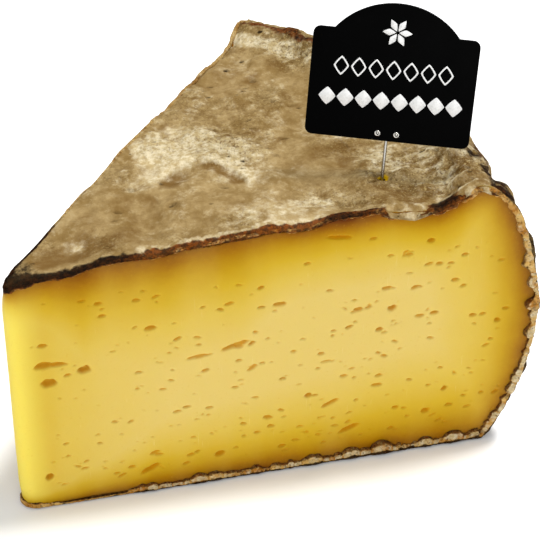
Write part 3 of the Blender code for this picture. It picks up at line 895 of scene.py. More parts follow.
def make_paste():
    """Dents the cuts by the eyes and a slight sway, closes the body and stores what the finish reads."""
    rings, outward = paste_rings()
    deep, _ = paste_surface(rings)
    facing = np.abs(outward[..., 1:2]) > 0.0
    sway = 0.16 * waves(rings * [1.0, 1.0, 0.12], 19.0, 61) + 0.03 * layered_noise(rings, 3.0, 62, 2)
    rings = rings - outward * (deep + PASTE_INSET - sway)[..., None] * facing
    middle = rings.mean(axis=(0, 1))
    shut_low = rings[:1] + (middle - rings[:1]) * SHUT_SHARE
    shut_high = rings[-1:] + (middle - rings[-1:]) * SHUT_SHARE
    rings = np.concatenate([shut_low, rings, shut_high])
    piece = ring_piece("paste", rings, paste_finish)
    points = thin_out(piece, PASTE_FACES_KEPT)
    _, inside = paste_surface(points)
    # Where the painted lemon highlight of the nose lies.
    nose = smoothstep(7.0, 0.5, points[:, 0]) * smoothstep(7.0, 0.5, points[:, 1])
    nose = nose * smoothstep(55.0, 45.0, points[:, 2]) * smoothstep(1.0, 5.0, points[:, 2])
    store_extras(piece.data, {"rind_distance": rind_distance(points), "eye": inside, "nose": nose})
    return piece


paste = make_paste()
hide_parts("cheese")
print("paste has", len(paste.data.polygons), "faces")

# %% [markdown]
# ## Rind colours
#
# The rind's bare tone is a warm grey-brown. Over it lie cream patches of dry bloom, brown stains and
# nearly black specks in pits. Painted light is blended in as well: cream on the tops of crags and grains
# and on the fold's crest is partly painted highlight, and brown and dark in the crevices and in the
# fold's hollow are painted shade. Large patches are placed where the real rind has them, noise breaks
# their edges, and each point of the mesh carries the amounts of cream, brown and dark. The finish then
# only blends named colours by those amounts and adds fine grain.

# %% Patches on the top rind
# Each patch: place along and across, size and amount.
CREAM_PATCHES = (
    (36, 33, 4.5, 1.1), (34, 30.5, 3.2, 0.9), (41, 36.5, 3, 0.6), (44.5, 32, 4, 0.5),
    (52, 28.5, 3.5, 0.6), (57, 33, 3, 0.4), (47, 26.5, 3, 0.5), (40.5, 28.5, 3, 0.6), (14, 7.5, 2.2, 0.9),
    (18, 9.5, 2.5, 0.4), (33, 9, 4, 0.3), (44, 6.5, 4, 0.5), (50, 6.2, 4, 0.6), (56, 6.5, 4, 0.6),
    (63, 6.8, 3.5, 0.5), (28, 4.6, 2.5, 0.4), (38, 17, 3, 0.3), (49, 18, 3.5, 0.3), (76, 18.5, 3, 0.8),
    (73, 16, 2.5, 0.5), (79.5, 14.5, 2.5, 0.5), (87, 6, 3, 0.9), (85, 3.5, 2, 0.5), (82, 9.5, 1.6, 0.7),
    (90.5, 12, 1.6, 0.5), (71.8, 58.5, 1.8, 1), (60, 56, 2.5, 0.3), (52, 61.5, 2.5, 0.5),
    (44, 29, 9, 0.3), (50, 23, 6, 0.3), (36, 27, 5, 0.3), (30, 23, 4, 0.2),
)
BROWN_PATCHES = (
    (36, 21, 2.8, 1.1), (45.5, 22.5, 2.6, 1.1), (49, 20.5, 2.4, 0.7), (30.5, 16, 2.2, 0.6),
    (35.5, 14.8, 1.6, 0.5), (26, 17, 2.5, 0.4), (43, 43.5, 2.5, 0.6), (46, 47, 2, 0.5), (50, 52, 4, 0.5),
    (56, 57, 4, 0.5), (59, 53, 1.8, 1), (56.5, 50, 1.2, 0.8), (54, 43, 4, 0.4), (60, 40, 4, 0.4),
    (64, 46, 3.5, 0.5), (58, 66, 2.2, 0.7), (66, 58, 3, 0.6), (62, 22, 4, 0.5), (67, 24, 3, 0.6),
    (71, 24.5, 2.2, 1), (75, 25.5, 1.8, 0.8), (70, 20, 2.5, 0.6), (60, 14, 4, 0.4), (66, 11, 3, 0.4),
    (72, 8, 3, 0.4), (76, 5.5, 3.5, 0.7), (80, 4.5, 2.5, 0.6), (81, 17, 2, 0.6), (86, 13, 2.5, 0.8),
    (90, 8.5, 2.5, 0.9), (93, 12, 2.5, 0.9), (9, 5, 3.5, 0.7), (15, 4.3, 2.2, 0.6), (22, 6.5, 2.5, 0.6),
    (18, 14, 3, 0.4), (52, 12, 4, 0.3), (16, 9, 7, 0.3), (27, 11, 6, 0.25), (90, 4, 3, 0.5),
    (94.5, 17, 3, 0.7), (50, 33, 1.6, 0.8), (54.5, 35, 1.8, 0.8), (47, 36, 1.6, 0.8), (59, 31, 2, 0.6),
    (38, 39.5, 2, 0.8), (57.5, 27, 2, 0.5), (48, 41, 2.2, 0.6), (40.5, 33.5, 1, 0.5),
)
DARK_PATCHES = (
    (97, 2, 2.4, 0.9), (95.5, 7, 2.2, 0.9), (93.5, 14, 2.4, 0.7), (91, 20, 2.4, 0.6), (85.5, 3, 1.4, 0.9),
    (84, 1, 1.5, 0.8), (81, 10, 1, 0.5), (71.5, 24.5, 1.6, 0.6), (20.5, 3.8, 2.2, 0.6),
    (24, 2.6, 1.8, 0.5), (6, 3.5, 2.5, 0.6), (88.5, 10, 1.3, 0.6), (78, 22, 1.6, 0.5),
    (71, 63.5, 2, 0.35), (75.5, 3, 2, 0.5), (79, 1.5, 1.6, 0.5),
)


def rind_amounts(points, on_top):
    """Amounts of cream, brown and dark: the patches on the top, drawn patches, grains and pits, with painted
    highlights on crag tops and the fold's crest and painted shade in crevices and the fold's hollow.
    """
    crags, grains, pits = rind_grains(points)
    crusty = crustiness(points)
    drift = layered_noise(points, 9.0, 201, 4)
    mottle = layered_noise(points, 1.8, 207, 3)
    fine = 0.4 + 0.6 * crusty
    cream = on_top * patch_amount(points, CREAM_PATCHES, 203) * (0.8 + 0.5 * mottle * fine)
    cream = cream + (0.35 + 0.2 * (1.0 - on_top)) * smoothstep(0.05, 0.55, drift) + 0.2 * mottle * fine
    # Cream on the tops of crags and grains: partly dry crust, partly a painted highlight.
    dry_and_lit_tops = 0.5 * smoothstep(0.75, 0.98, crags) + 0.35 * smoothstep(0.7, 0.95, grains)
    cream = cream + crusty * (dry_and_lit_tops - 0.25)
    brown = on_top * patch_amount(points, BROWN_PATCHES, 206) * (0.9 - 0.5 * mottle * fine)
    brown = brown + (0.4 + 0.3 * (1.0 - on_top)) * smoothstep(0.05, 0.5, -drift) - 0.25 * mottle * fine
    # Painted shade: brown in the crevices between crags and between grains.
    brown = brown + crusty * 0.6 * smoothstep(0.65, 0.3, crags) + 0.35 * smoothstep(0.6, 0.3, grains) * fine
    # Painted highlight on the fold's crest and painted shade in its hollow, as cream and brown.
    crest, trough = fold_parts(points[..., 0], points[..., 1])
    cream = cream + on_top * (0.4 * crest - 0.5 * trough)
    brown = brown + on_top * (0.7 * trough - 0.3 * crest)
    # Dark specks in the pits, and painted shade deep in the crevices between crags.
    dark = pits * 0.8 + crusty * 0.25 * smoothstep(0.5, 0.1, crags)
    return limited(cream), limited(brown), limited(dark)


print(len(CREAM_PATCHES), "cream,", len(BROWN_PATCHES), "brown and", len(DARK_PATCHES), "dark patches")

# %% Rind finish
def make_rind_finish():
    """Blends bare, cream, brown and dark rind (partly painted highlights and shade), torn tan crust,
    red-brown undersides, the stain and the pin's hole painted dark as shade.
    """
    finish, shader, wire = start_finish("rind", Specular_IOR_Level=0.05)
    place = millimetres(wire)
    grain = texture(wire, place, 0.7, 5.0, 0.65) - 0.5
    cloud = texture(wire, place, 4.5, 4.0, 0.6)
    rough = attribute(wire, "rough")
    mottle = texture(wire, place, 2.1, 5.0, 0.7)
    ground = cloud.between(0.3, 0.7).mix(paint(140, 112, 64), paint(172, 146, 98))
    ground = (mottle.between(0.5, 0.66) * (rough * 0.3 + 0.3)).mix(ground, paint(204, 182, 136))
    ground = (mottle.between(0.5, 0.36) * (rough * 0.3 + 0.25)).mix(ground, paint(112, 84, 44))
    torn = cloud.between(0.35, 0.65).mix(paint(186, 120, 34), paint(234, 190, 110))
    ground = attribute(wire, "torn").mix(ground, torn)
    brown = (attribute(wire, "brown") + grain * (rough * 0.5 + 0.5)).between(0.15, 1.0)
    ground = (brown * 0.8).mix(ground, paint(116, 84, 38))
    uneven = grain * (rough * 0.8 + 0.6) + (mottle - 0.5) * (rough * 0.5 + 0.8)
    cream = (attribute(wire, "cream") + uneven).between(0.1, 1.0)
    bloom = texture(wire, place, 1.3, 4.0, 0.65).between(0.36, 0.64)
    ground = (cream * 0.85).mix(ground, bloom.mix(paint(198, 176, 128), paint(242, 228, 192)))
    kernels = texture(wire, place, 0.42, 2.0).between(0.54, 0.68) * rough
    ground = (kernels * 0.4).mix(ground, paint(232, 208, 140))
    hollows = texture(wire, place, 0.62, 3.0).between(0.46, 0.34) * (rough + 0.25)
    ground = (hollows * 0.5).mix(ground, paint(100, 68, 26))
    red = (attribute(wire, "red") + grain * 0.9).between(0.3, 0.8)
    rust = texture(wire, place, 0.9, 4.0, 0.7).between(0.38, 0.64)
    ground = (red * 0.92).mix(ground, rust.mix(paint(54, 20, 1), paint(128, 62, 6)))
    dark = (attribute(wire, "dark") + grain * 1.0).between(0.3, 0.95)
    ground = (dark * 0.95).mix(ground, rust.mix(paint(16, 8, 3), paint(46, 24, 6)))
    stained = attribute(wire, "stain").between(0.1, 0.9)
    ground = stained.mix(ground, paint(222, 176, 6))
    # Painted shade: the hole round the pin is painted nearly black-brown.
    hole = attribute(wire, "hole").between(0.2, 0.9)
    ground = hole.mix(ground, paint(60, 34, 6))
    link(ground, shader, "Base Color")
    link(grain * 0.3 + 0.75, shader, "Roughness")
    crumbs = texture(wire, place, 0.45, 5.0, 0.7) + texture(wire, place, 1.5, 3.0, 0.6) * 1.5
    link(bump(wire, crumbs * (rough * 1.3 + 0.4), 0.34, 0.9), shader, "Normal")
    return finish


rind_finish = make_rind_finish()
print("rind finish has", len(rind_finish.node_tree.nodes), "nodes")

# %% [markdown]
# ## Rind
#
# The rind wraps the wedge like a letter C: over the top, down the rim and back under the base. One
# slice of that C is a closed ring: outside from the tip round to the base, and back along its inside.
# Slices stand side by side from the front cut to the back cut. The outside is pushed out along the
# surface's own direction by the relief. Near the cuts it gets thin and bends down a little, as a cut
# edge does, and over the last part of the front cut some flakes of it hang down over the paste.

# %% Form of the rind
RIND_COLUMNS = 380
TOP_ROWS = 400
RIM_ROWS = 220
BASE_ROWS = 70
RIND_RECESS = 0.3


def nose_distance(share, level):
    """How far the nose's surface is from the point where the two cuts would meet."""
    line = CutLine(level)
    away = line.radius / np.sin(line.slope / 2.0)
    turn = (share - 0.5) * line.slope
    chord = np.maximum(line.radius**2 - (away * np.sin(turn)) ** 2, 0.0)
    return away * np.cos(turn) - np.sqrt(chord)


def rind_plan(share, level, way_out):
    """Plan places of the C: from the cuts' meeting point towards the rim at an angle, by a share of it."""
    line = CutLine(level)
    rim_end = WEDGE_ANGLE + BACK_FLARE / rim_radius(level, WEDGE_ANGLE)
    angle = share * rim_end
    radius = rim_radius(level, angle)
    x = -line.reach + (radius * np.cos(angle) + line.reach) * way_out
    y = radius * np.sin(angle) * way_out
    pull = BACK_FLARE * (way_out - limited(way_out) ** 5) * share**3
    x = x + (pull + RIND_RECESS * share) * np.sin(line.slope)
    y = y - (pull + RIND_RECESS * share) * np.cos(line.slope)
    return x, y + RIND_RECESS * (1.0 - share)


def grid_normals(points, blur):
    """Directions across the grid's two ways, crossed and made even by averaging along the rings."""
    along = np.gradient(points, axis=1)
    across = np.gradient(points, axis=0)
    normal = np.cross(across, along)
    normal /= np.linalg.norm(normal, axis=-1, keepdims=True) + 1e-9
    for _ in range(blur):
        normal[:, 1:-1] += normal[:, 2:] + normal[:, :-2]
        normal /= np.linalg.norm(normal, axis=-1, keepdims=True) + 1e-9
    return normal


def rind_outside():
    """The outside of the C without relief, and which part of it is the top and which is the base."""
    share = np.linspace(0.0, 1.0, RIND_COLUMNS)[:, None]
    one = np.array(1.0)
    near_top = (nose_distance(share, one) + 0.25) / WHEEL_RADIUS
    near_base = (nose_distance(share, 0.0 * one) + 0.25) / WHEEL_RADIUS
    top_out = near_top + (1.0 - near_top) * np.linspace(0.0, 1.0, TOP_ROWS)[None, :]
    rim_level = np.linspace(1.0, 0.0, RIM_ROWS + 2)[None, 1:-1]
    base_out = 1.0 + (near_base - 1.0) * np.linspace(0.0, 1.0, BASE_ROWS)[None, :]
    x, y = rind_plan(share, np.ones_like(top_out), top_out)
    top = stack(x, y, top_height(x, y))
    x, y = rind_plan(share, rim_level, np.ones_like(rim_level))
    rim = stack(x, y, rim_level * top[:, -1, 2][:, None])
    x, y = rind_plan(share, np.zeros_like(base_out), base_out)
    base = stack(x, y, 0.0)
    part = np.repeat([0.0, 1.0, 2.0], [TOP_ROWS, RIM_ROWS, BASE_ROWS])[None, :] * np.ones_like(share)
    return np.concatenate([top, rim, base], axis=1), part


def back_cut_distance(points):
    """Distance of a place from the back cut, measured in plan."""
    slope = CutLine(np.array(1.0)).slope
    return (points[..., 0] + NOSE_REACH_TOP) * np.sin(slope) - points[..., 1] * np.cos(slope)


def cut_distance(points):
    """Distance of a place from the nearer of the two cuts, measured in plan."""
    return np.minimum(points[..., 1], back_cut_distance(points))


print("one slice of the rind has", TOP_ROWS + RIM_ROWS + BASE_ROWS, "points outside")

# %% Amounts near the edges
EDGE_STATIONS = (0.0, 5.0, 22.0, 27.0, 58.0, 63.0, 72.0, 76.0, 81.0, 83.0, 86.0, 88.0, 94.0, 98.0)
EDGE_DARKS = (1.0, 1.0, 1.0, 0.3, 0.3, 0.8, 0.6, 0.3, 0.3, 0.9, 0.6, 0.2, 0.6, 0.8)
EDGE_REDS = (0.6, 0.6, 0.7, 1.0, 1.0, 1.0, 0.9, 0.4, 0.5, 1.0, 0.8, 0.4, 0.8, 0.8)
EDGE_FRINGES = (0.0, 0.0, 0.2, 0.9, 0.8, 0.3, 0.3, 0.5, 0.8, 0.2, 0.5, 0.9, 0.4, 0.2)


FLAKE_STATIONS = (0.0, 30.0, 60.0, 72.0, 74.5, 80.0, 82.5, 85.0, 87.5, 90.0, 92.5, 95.0, 110.0)
FLAKE_REACHES = (0.2, 0.45, 0.5, 0.7, 1.5, 1.4, 0.5, 0.3, 1.0, 1.7, 1.4, 0.5, 0.3)
FLAKE_HANGS = (0.2, 0.3, 0.3, 0.5, 1.7, 1.9, 0.7, 0.3, 1.4, 2.8, 2.2, 0.7, 0.3)


def flakiness(way):
    """1 where flakes hang over the front cut and 0 elsewhere, by the way along the cut."""
    return smoothstep(0.8, 1.3, np.interp(way, FLAKE_STATIONS, FLAKE_REACHES))


def cut_edge_amounts(points, on_top, flaky):
    """Black, red and crumbly cream along the front cut's edge, over its first few millimetres."""
    x, y, _ = np.moveaxis(points, -1, 0)
    away = y + 0.5 * smooth_noise(points, 2.2, 73) + 0.3 * smooth_noise(points, 0.8, 79)
    black = np.interp(x, EDGE_STATIONS, EDGE_DARKS) * on_top * smoothstep(2.0, 1.0, away)
    red = np.interp(x, EDGE_STATIONS, EDGE_REDS) * on_top * smoothstep(1.7, 1.0, away)
    fringe = np.interp(x, EDGE_STATIONS, EDGE_FRINGES) * on_top
    fringe = fringe * smoothstep(2.7, 1.9, away) * smoothstep(0.9, 1.4, away)
    grains = rind_grains(points)[1]
    fringe = fringe * smoothstep(0.35, 0.85, grains + 0.3 * smooth_noise(points, 2.0, 80))
    crumbly = smoothstep(3.0, 0.5, away) * smoothstep(-0.3, 0.4, smooth_noise(points, 1.2, 84))
    return black * (1.0 - flaky), red * (1.0 - flaky), 0.7 * fringe + 0.5 * flaky * crumbly


def rim_edge_amounts(points):
    """How near a place is to the far edge, to the pale stripe before it and to the right edge."""
    x, y, z = np.moveaxis(points, -1, 0)
    far = np.hypot(x, y) + 0.9 * smooth_noise(points, 3.0, 78)
    very_edge = smoothstep(0.91, 0.97, z / top_height(x, y) + 0.02 * smooth_noise(points, 2.5, 211))
    far_edge = smoothstep(93.4, 96.0, far) * smoothstep(98.5, 96.5, far)
    far_edge = far_edge * smoothstep(48.0, 60.0, y + 5.0 * smooth_noise(points, 4.0, 212))
    stripe = smoothstep(89.4, 90.6, far) * smoothstep(93.6, 92.4, far) * smoothstep(59.0, 62.0, y)
    right_edge = smoothstep(91.5, 95.0, far) * smoothstep(34.0, 24.0, y) * smoothstep(0.0, 3.0, y)
    right_edge = right_edge * (0.6 + 0.6 * smooth_noise(points, 2.2, 210))
    return far_edge * very_edge, stripe, right_edge * very_edge


def rind_extras(points):
    """The numbers that the finish reads, from the places of the finished points."""
    x, y, z = np.moveaxis(points, -1, 0)
    radius = np.hypot(x, y)
    on_top = smoothstep(0.80, 0.93, z / top_height(x, y))
    side = 1.0 - on_top
    from_pin = (pin_distance(x, y) + 9.0 * side) * (1.0 + 0.35 * smooth_noise(points, 1.3, 71))
    flaky = flakiness(radius) * smoothstep(6.0, 3.0, y)
    under_edge = smoothstep(0.35, 0.0, y + 0.2 * smooth_noise(points, 1.5, 75)) * (1.0 - flaky)
    # Painted shade: the side of the rind close to the cuts is darkened where it is seen at a slant.
    near_cut = smoothstep(4.5, 1.0, cut_distance(points) + 0.7 * smooth_noise(points, 2.0, 73)) * side
    tip = smoothstep(10.0, 3.0, radius + 2.5 * smooth_noise(points, 3.0, 74)) * on_top
    back_line = smoothstep(0.9, 0.3, back_cut_distance(points)) * on_top * smoothstep(26.0, 18.0, x)
    black_edge, red_edge, pale_edge = cut_edge_amounts(points, on_top, flaky)
    far_edge, far_stripe, right_edge = rim_edge_amounts(points)
    cream, brown, dark = rind_amounts(points, on_top)
    cream = (cream + 0.9 * far_stripe + pale_edge) * (1.0 - 0.7 * near_cut) * (1.0 - 0.7 * under_edge)
    brown = brown * (1.0 - far_stripe) + 0.5 * side
    blotches = patch_amount(points, DARK_PATCHES, 208)
    blotches = blotches * (0.7 + 0.5 * layered_noise(points, 1.6, 209, 2))
    dark = dark + on_top * (blotches + 0.6 * slit_amount(x, y)) + 0.65 * near_cut
    dark = dark + tip + black_edge + back_line + 0.35 * far_edge + 0.6 * right_edge
    red = 0.8 * under_edge * on_top + red_edge + 0.8 * far_edge + 0.7 * right_edge
    return {
        "cream": cream,
        "brown": limited(brown),
        "dark": limited(dark),
        "red": limited(red),
        "torn": 0.0 * cream,
        "rough": crustiness(points),
        "stain": smoothstep(1.4, 0.8, from_pin),
        # painted shade in the hole round the pin
        "hole": smoothstep(0.75, 0.4, from_pin),
    }


print("flakes at 60, 77 and 91 mm:", flakiness(np.array([60.0, 77.0, 91.0])).round(2))

# %% Build the rind
INNER_STEP = 10
RIND_THICKNESS = 1.9
EDGE_THICKNESS = 0.75
LEAST_HEIGHT = 0.02
RIND_FACES_KEPT = 195000


def flaky_edge(points):
    """Pushes the rind's last millimetre out over the cut, by an uneven amount along the edge."""
    slope = CutLine(np.array(1.0)).slope
    near = smoothstep(1.6, 0.0, cut_distance(points))
    radius = np.hypot(points[..., 0], points[..., 1])
    reach = np.interp(radius, FLAKE_STATIONS, FLAKE_REACHES)
    hang = np.interp(radius, FLAKE_STATIONS, FLAKE_HANGS)
    uneven = 0.2 + 1.0 * smooth_noise(points, 2.6, 76) + 0.8 * smooth_noise(points, 1.0, 77)
    uneven = uneven + 0.6 * smoothstep(0.7, 1.3, reach)
    on_front = points[..., 1] < points[..., 0] * math.tan(0.5 * WEDGE_ANGLE)
    out_x = np.where(on_front, 0.0, -np.sin(slope))
    out_y = np.where(on_front, -1.0, np.cos(slope))
    push = near * np.where(on_front, reach, 0.25) * uneven
    droop = near * np.clip(0.5 * hang + 0.6 * push, 0.0, 2.6) * np.where(on_front, 1.0, 0.4)
    return stack(out_x * push, out_y * push, -droop)


def make_rind():
    """Pushes the C out by all relief, adds its inside and stores what the finish reads."""
    outside, part = rind_outside()
    outward = grid_normals(outside, 6)
    if outward[RIND_COLUMNS // 2, TOP_ROWS // 2, 2] < 0.0:
        outward = -outward
    on_top = (part == 0.0).astype(float)
    on_rim = (part == 1.0).astype(float)
    on_base = (part == 2.0).astype(float)
    relief = rind_relief(outside) * (1.0 - 0.75 * on_base)
    relief = relief + on_top * rind_marks(outside[..., 0], outside[..., 1])
    relief = relief + on_rim * RIM_RELIEF * waves(outside, RIM_WAVE, 31)
    from_cut = cut_distance(outside)
    relief = relief - on_top * (pin_pit(outside[..., 0], outside[..., 1]) + edge_drop(outside))
    relief = relief - 0.3 * smoothstep(0.9, 0.0, from_cut) * (on_top + 2.0 * on_base)
    thick = EDGE_THICKNESS + (RIND_THICKNESS - EDGE_THICKNESS) * smoothstep(0.8, 3.2, from_cut)
    inside = (outside - outward * (thick - np.minimum(relief, 0.0))[..., None])[:, ::-INNER_STEP]
    outside = outside + outward * relief[..., None] + flaky_edge(outside) * on_top[..., None]
    rings = np.concatenate([outside, inside], axis=1)
    rings[..., 2] = np.maximum(rings[..., 2], LEAST_HEIGHT)
    piece = ring_piece("rind", rings, rind_finish)
    points = thin_out(piece, RIND_FACES_KEPT)
    store_extras(piece.data, rind_extras(points))
    return piece


rind = make_rind()
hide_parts("cheese")
print("rind has", len(rind.data.polygons), "faces")

# %% [markdown]
# ## Torn crust
#
# Where the knife went through, the rind shows as a ragged band along all edges of the cuts: thin and
# nearly black at the nose, brown with a crumbly fringe along the top, flaky over the last part and
# lumpy and tan down the rim and along the base. Each cut gets one strip: rings of points are carried
# from the nose along the top, down the rim and back along the base. Width, height and colour follow
# the stretch, round beads of crust sit along the rim and the base, and two sizes of lumps break the
# band up. Where the rind's flakes hang down, the strip lies lower and shows as a line under them.

# %% Path of the crust round a cut
def smoothed(values, times):
    """Averages each value with its neighbours, the ends kept."""
    for _ in range(times):
        middle = (values[:-2] + values[1:-1] + values[2:]) / 3.0
        values = np.concatenate([values[:1], middle, values[-1:]])
    return values


def crust_path(side, step):
    """Points along a cut's edge, as way along the cut and height, and their outward directions."""
    line = CutLine(np.array(1.0))
    end = line.front_end if side > 0 else line.back_end
    way = np.linspace(0.0, end, 700)
    plan, _ = line.at(way)
    top = np.stack([way, rind_height(plan[:, 0], plan[:, 1])], axis=1)
    if side > 0:
        top[:, 1] -= DROP_SHARE * edge_drop(plan)
    level = np.linspace(1.0, 0.0, 260)[1:-1]
    line = CutLine(level)
    rim = np.stack([line.front_end if side > 0 else line.back_end, level * top[-1, 1]], axis=1)
    line = CutLine(np.array(0.0))
    way = np.linspace(line.front_end if side > 0 else line.back_end, 0.0, 700)
    base = np.stack([way, np.zeros_like(way)], axis=1)
    path = smoothed(np.concatenate([top, rim, base]), 6)
    travel = np.concatenate([[0.0], np.cumsum(np.linalg.norm(np.diff(path, axis=0), axis=1))])
    even = np.linspace(0.0, travel[-1], int(travel[-1] / step))
    path = np.stack([np.interp(even, travel, path[:, axis]) for axis in range(2)], axis=1)
    heading = smoothed(np.gradient(path, axis=0), int(1.2 / step))
    heading /= np.linalg.norm(heading, axis=1, keepdims=True)
    return path, side * np.stack([-heading[:, 1], heading[:, 0]], axis=1)


def cut_point(way, height):
    """Place and outward normal of the cut surface at a way along it and a height."""
    plan, _ = CutLine(np.array(1.0)).at(way)
    edge = top_height(plan[..., 0], plan[..., 1])
    place, normal = CutLine(limited(height / edge)).at(way)
    place[..., 2] = height
    return place, normal


print("the front cut's edge is", len(crust_path(1, 1.0)[0]), "mm long")

# %% Beads along the crust
def bead_chain(travel, seed):
    """A chain of round beads: how high it stands at each place, that bead's tint, and the creases.

    Each bead is half an ellipse over the way along, and the highest one counts at every place.
    """
    draw = np.random.default_rng(seed)
    spacing = 0.9 + 3.6 * draw.uniform(0.0, 1.0, int(travel[-1] / 1.4)) ** 1.7
    middle = np.cumsum(spacing) - 0.5 * spacing
    size = (0.4 + 0.22 * spacing) * draw.uniform(0.35, 1.3, len(spacing))
    tint = draw.uniform(0.0, 1.0, len(spacing))
    away = (travel[:, None] - middle) / (0.56 * spacing)
    round_top = np.sqrt(limited(1.0 - away**2))
    best = np.argmax(round_top * size, axis=1)
    rows = np.arange(len(travel))
    return round_top[rows, best] * size[best], tint[best], 1.0 - round_top[rows, best]


print("beads:", bead_chain(np.linspace(0.0, 4.0, 5), 95)[0].round(2))

# %% Sizes and colours of the crust by the way along the cut
CRUST_SIDES = 44
CRUST_TUCK = 0.8
CRUST_STATIONS = (
    0.0, 14.0, 23.0, 28.0, 46.0, 58.0, 64.0, 72.0, 74.5, 80.5, 83.0, 86.5, 89.0, 93.0, 95.0, 98.0,
)
CRUST_WIDTHS = (1.5, 1.1, 0.9, 0.8, 0.8, 0.8, 0.8, 0.8, 0.8, 0.8, 1.5, 1.6, 0.9, 0.9, 1.0, 1.2)
CRUST_STANDS = (0.12, 0.12, 0.15, 0.2, 0.2, 0.2, 0.2, 0.2, 0.1, 0.1, 0.25, 0.3, 0.1, 0.1, 0.2, 0.35)
CRUST_BLACKS = (1.0, 1.0, 0.85, 0.4, 0.3, 0.5, 0.9, 0.6, 0.6, 0.6, 0.8, 0.8, 0.4, 0.4, 0.6, 0.8)
CRUST_REDS = (1.0, 1.0, 1.0, 0.9, 0.9, 0.9, 0.9, 0.9, 1.0, 1.0, 1.0, 1.0, 0.8, 0.7, 0.6, 0.5)
CRUST_FRINGES = (0.0, 0.0, 0.1, 0.3, 0.3, 0.2, 0.1, 0.2, 0.2, 0.2, 0.0, 0.0, 0.2, 0.2, 0.2, 0.1)
LEAST_WIDTH = 0.75
BASE_STATIONS = (0.0, 5.0, 8.0, 20.0, 24.0, 45.0, 100.0)
BASE_WIDTHS = (1.4, 1.1, 0.4, 0.45, 1.8, 2.4, 2.5)
BACK_CRUST = 0.3
# Lumps of the crust down the rim: height, size, extra width and extra stand.
RIM_LUMPS = ((44.5, 3.6, 1.3, 0.7), (33.5, 3.0, 1.0, 0.9), (26.0, 2.2, 0.6, 0.5), (51.5, 2.6, 0.4, 0.6))


def crust_extras(rings, side, run, share, big, small):
    """The numbers that the finish reads: by the way along, the share across and the lumps, including painted
    highlights on beads and painted shade in creases and along the edges.
    """
    along = run.along[:, None]
    on_top = run.on_top[:, None]
    on_base = run.on_base[:, None]
    tint = run.tint[:, None]
    crease = run.crease[:, None]
    plain = np.ones(rings.shape[:2])
    on_side = 1.0 - on_top
    patchy = layered_noise(rings, 2.4, 94, 3)
    flecks = layered_noise(rings, 0.9, 97, 2)
    ragged_share = share + 0.22 * patchy + 0.2 * flecks
    black = np.interp(along, CRUST_STATIONS, CRUST_BLACKS) * on_top
    black = black * smoothstep(0.35, 0.75, ragged_share)
    reds = np.interp(along, CRUST_STATIONS, CRUST_REDS) * on_top
    reds = reds * smoothstep(0.0, 0.45, ragged_share)
    fringe = np.interp(along, CRUST_STATIONS, CRUST_FRINGES) * on_top * smoothstep(0.55, 0.8, share)
    fringe = fringe * smoothstep(0.45, 0.8, small) * smoothstep(-0.4, 0.2, patchy)
    near_nose = on_base * smoothstep(24.0, 20.0, along)
    # Painted shade: a dark line along the crust's outer edge, the rind seen at a slant or in shadow beneath.
    outer = on_side * smoothstep(0.0, 0.1, share - 0.86 + 0.32 * on_base + 0.06 * flecks)
    # Painted shade: dark brown along the inner edge, where the crust shades the paste beside it.
    inner = on_side * smoothstep(0.24, 0.08, share + 0.12 * flecks)
    # Cream on the beads: partly the crust's own paler tint, partly a painted highlight on their tops, kept
    # out of creases.
    crest = 0.5 * smoothstep(0.2, 0.9, tint) + 0.3 * smoothstep(0.7, 0.95, big) + 0.7 * patchy + 0.3
    crest = on_side * crest * (1.0 - outer) * (1.0 - inner)
    crest = crest * (1.0 - smoothstep(0.2, 0.6, crease)) * (1.0 - near_nose)
    # Painted shade: brown and dark in the creases between beads and between lumps.
    hollow = 0.7 * smoothstep(0.45, 0.85, crease) + 0.6 * smoothstep(0.5, 0.15, big)
    hollow = on_side * hollow * (1.0 - near_nose)
    dark = black * (1.0 - fringe) + outer * (1.0 - 0.85 * near_nose)
    dark = dark + 0.7 * hollow * smoothstep(-0.3, 0.3, patchy) + 0.3 * near_nose
    torn = plain
    if side < 0:
        dark = dark * (1.0 - on_top * smoothstep(14.0, 30.0, along))
        reds = reds * (1.0 - smoothstep(10.0, 24.0, along))
        torn = plain - 0.7 * on_top
    return {
        "cream": limited(fringe + crest),
        "brown": limited(0.9 * hollow + inner - 0.2 * patchy),
        "dark": limited(dark + 0.3 * inner),
        "red": limited(reds - fringe + 0.6 * inner + 0.3 * hollow),
        "torn": torn,
        "rough": plain,
        "stain": 0.0 * plain,
        "hole": 0.0 * plain,
    }


sample = np.interp([5.0, 90.0], CRUST_STATIONS, CRUST_WIDTHS)
print("crust width near the nose and the rim:", sample.round(2))

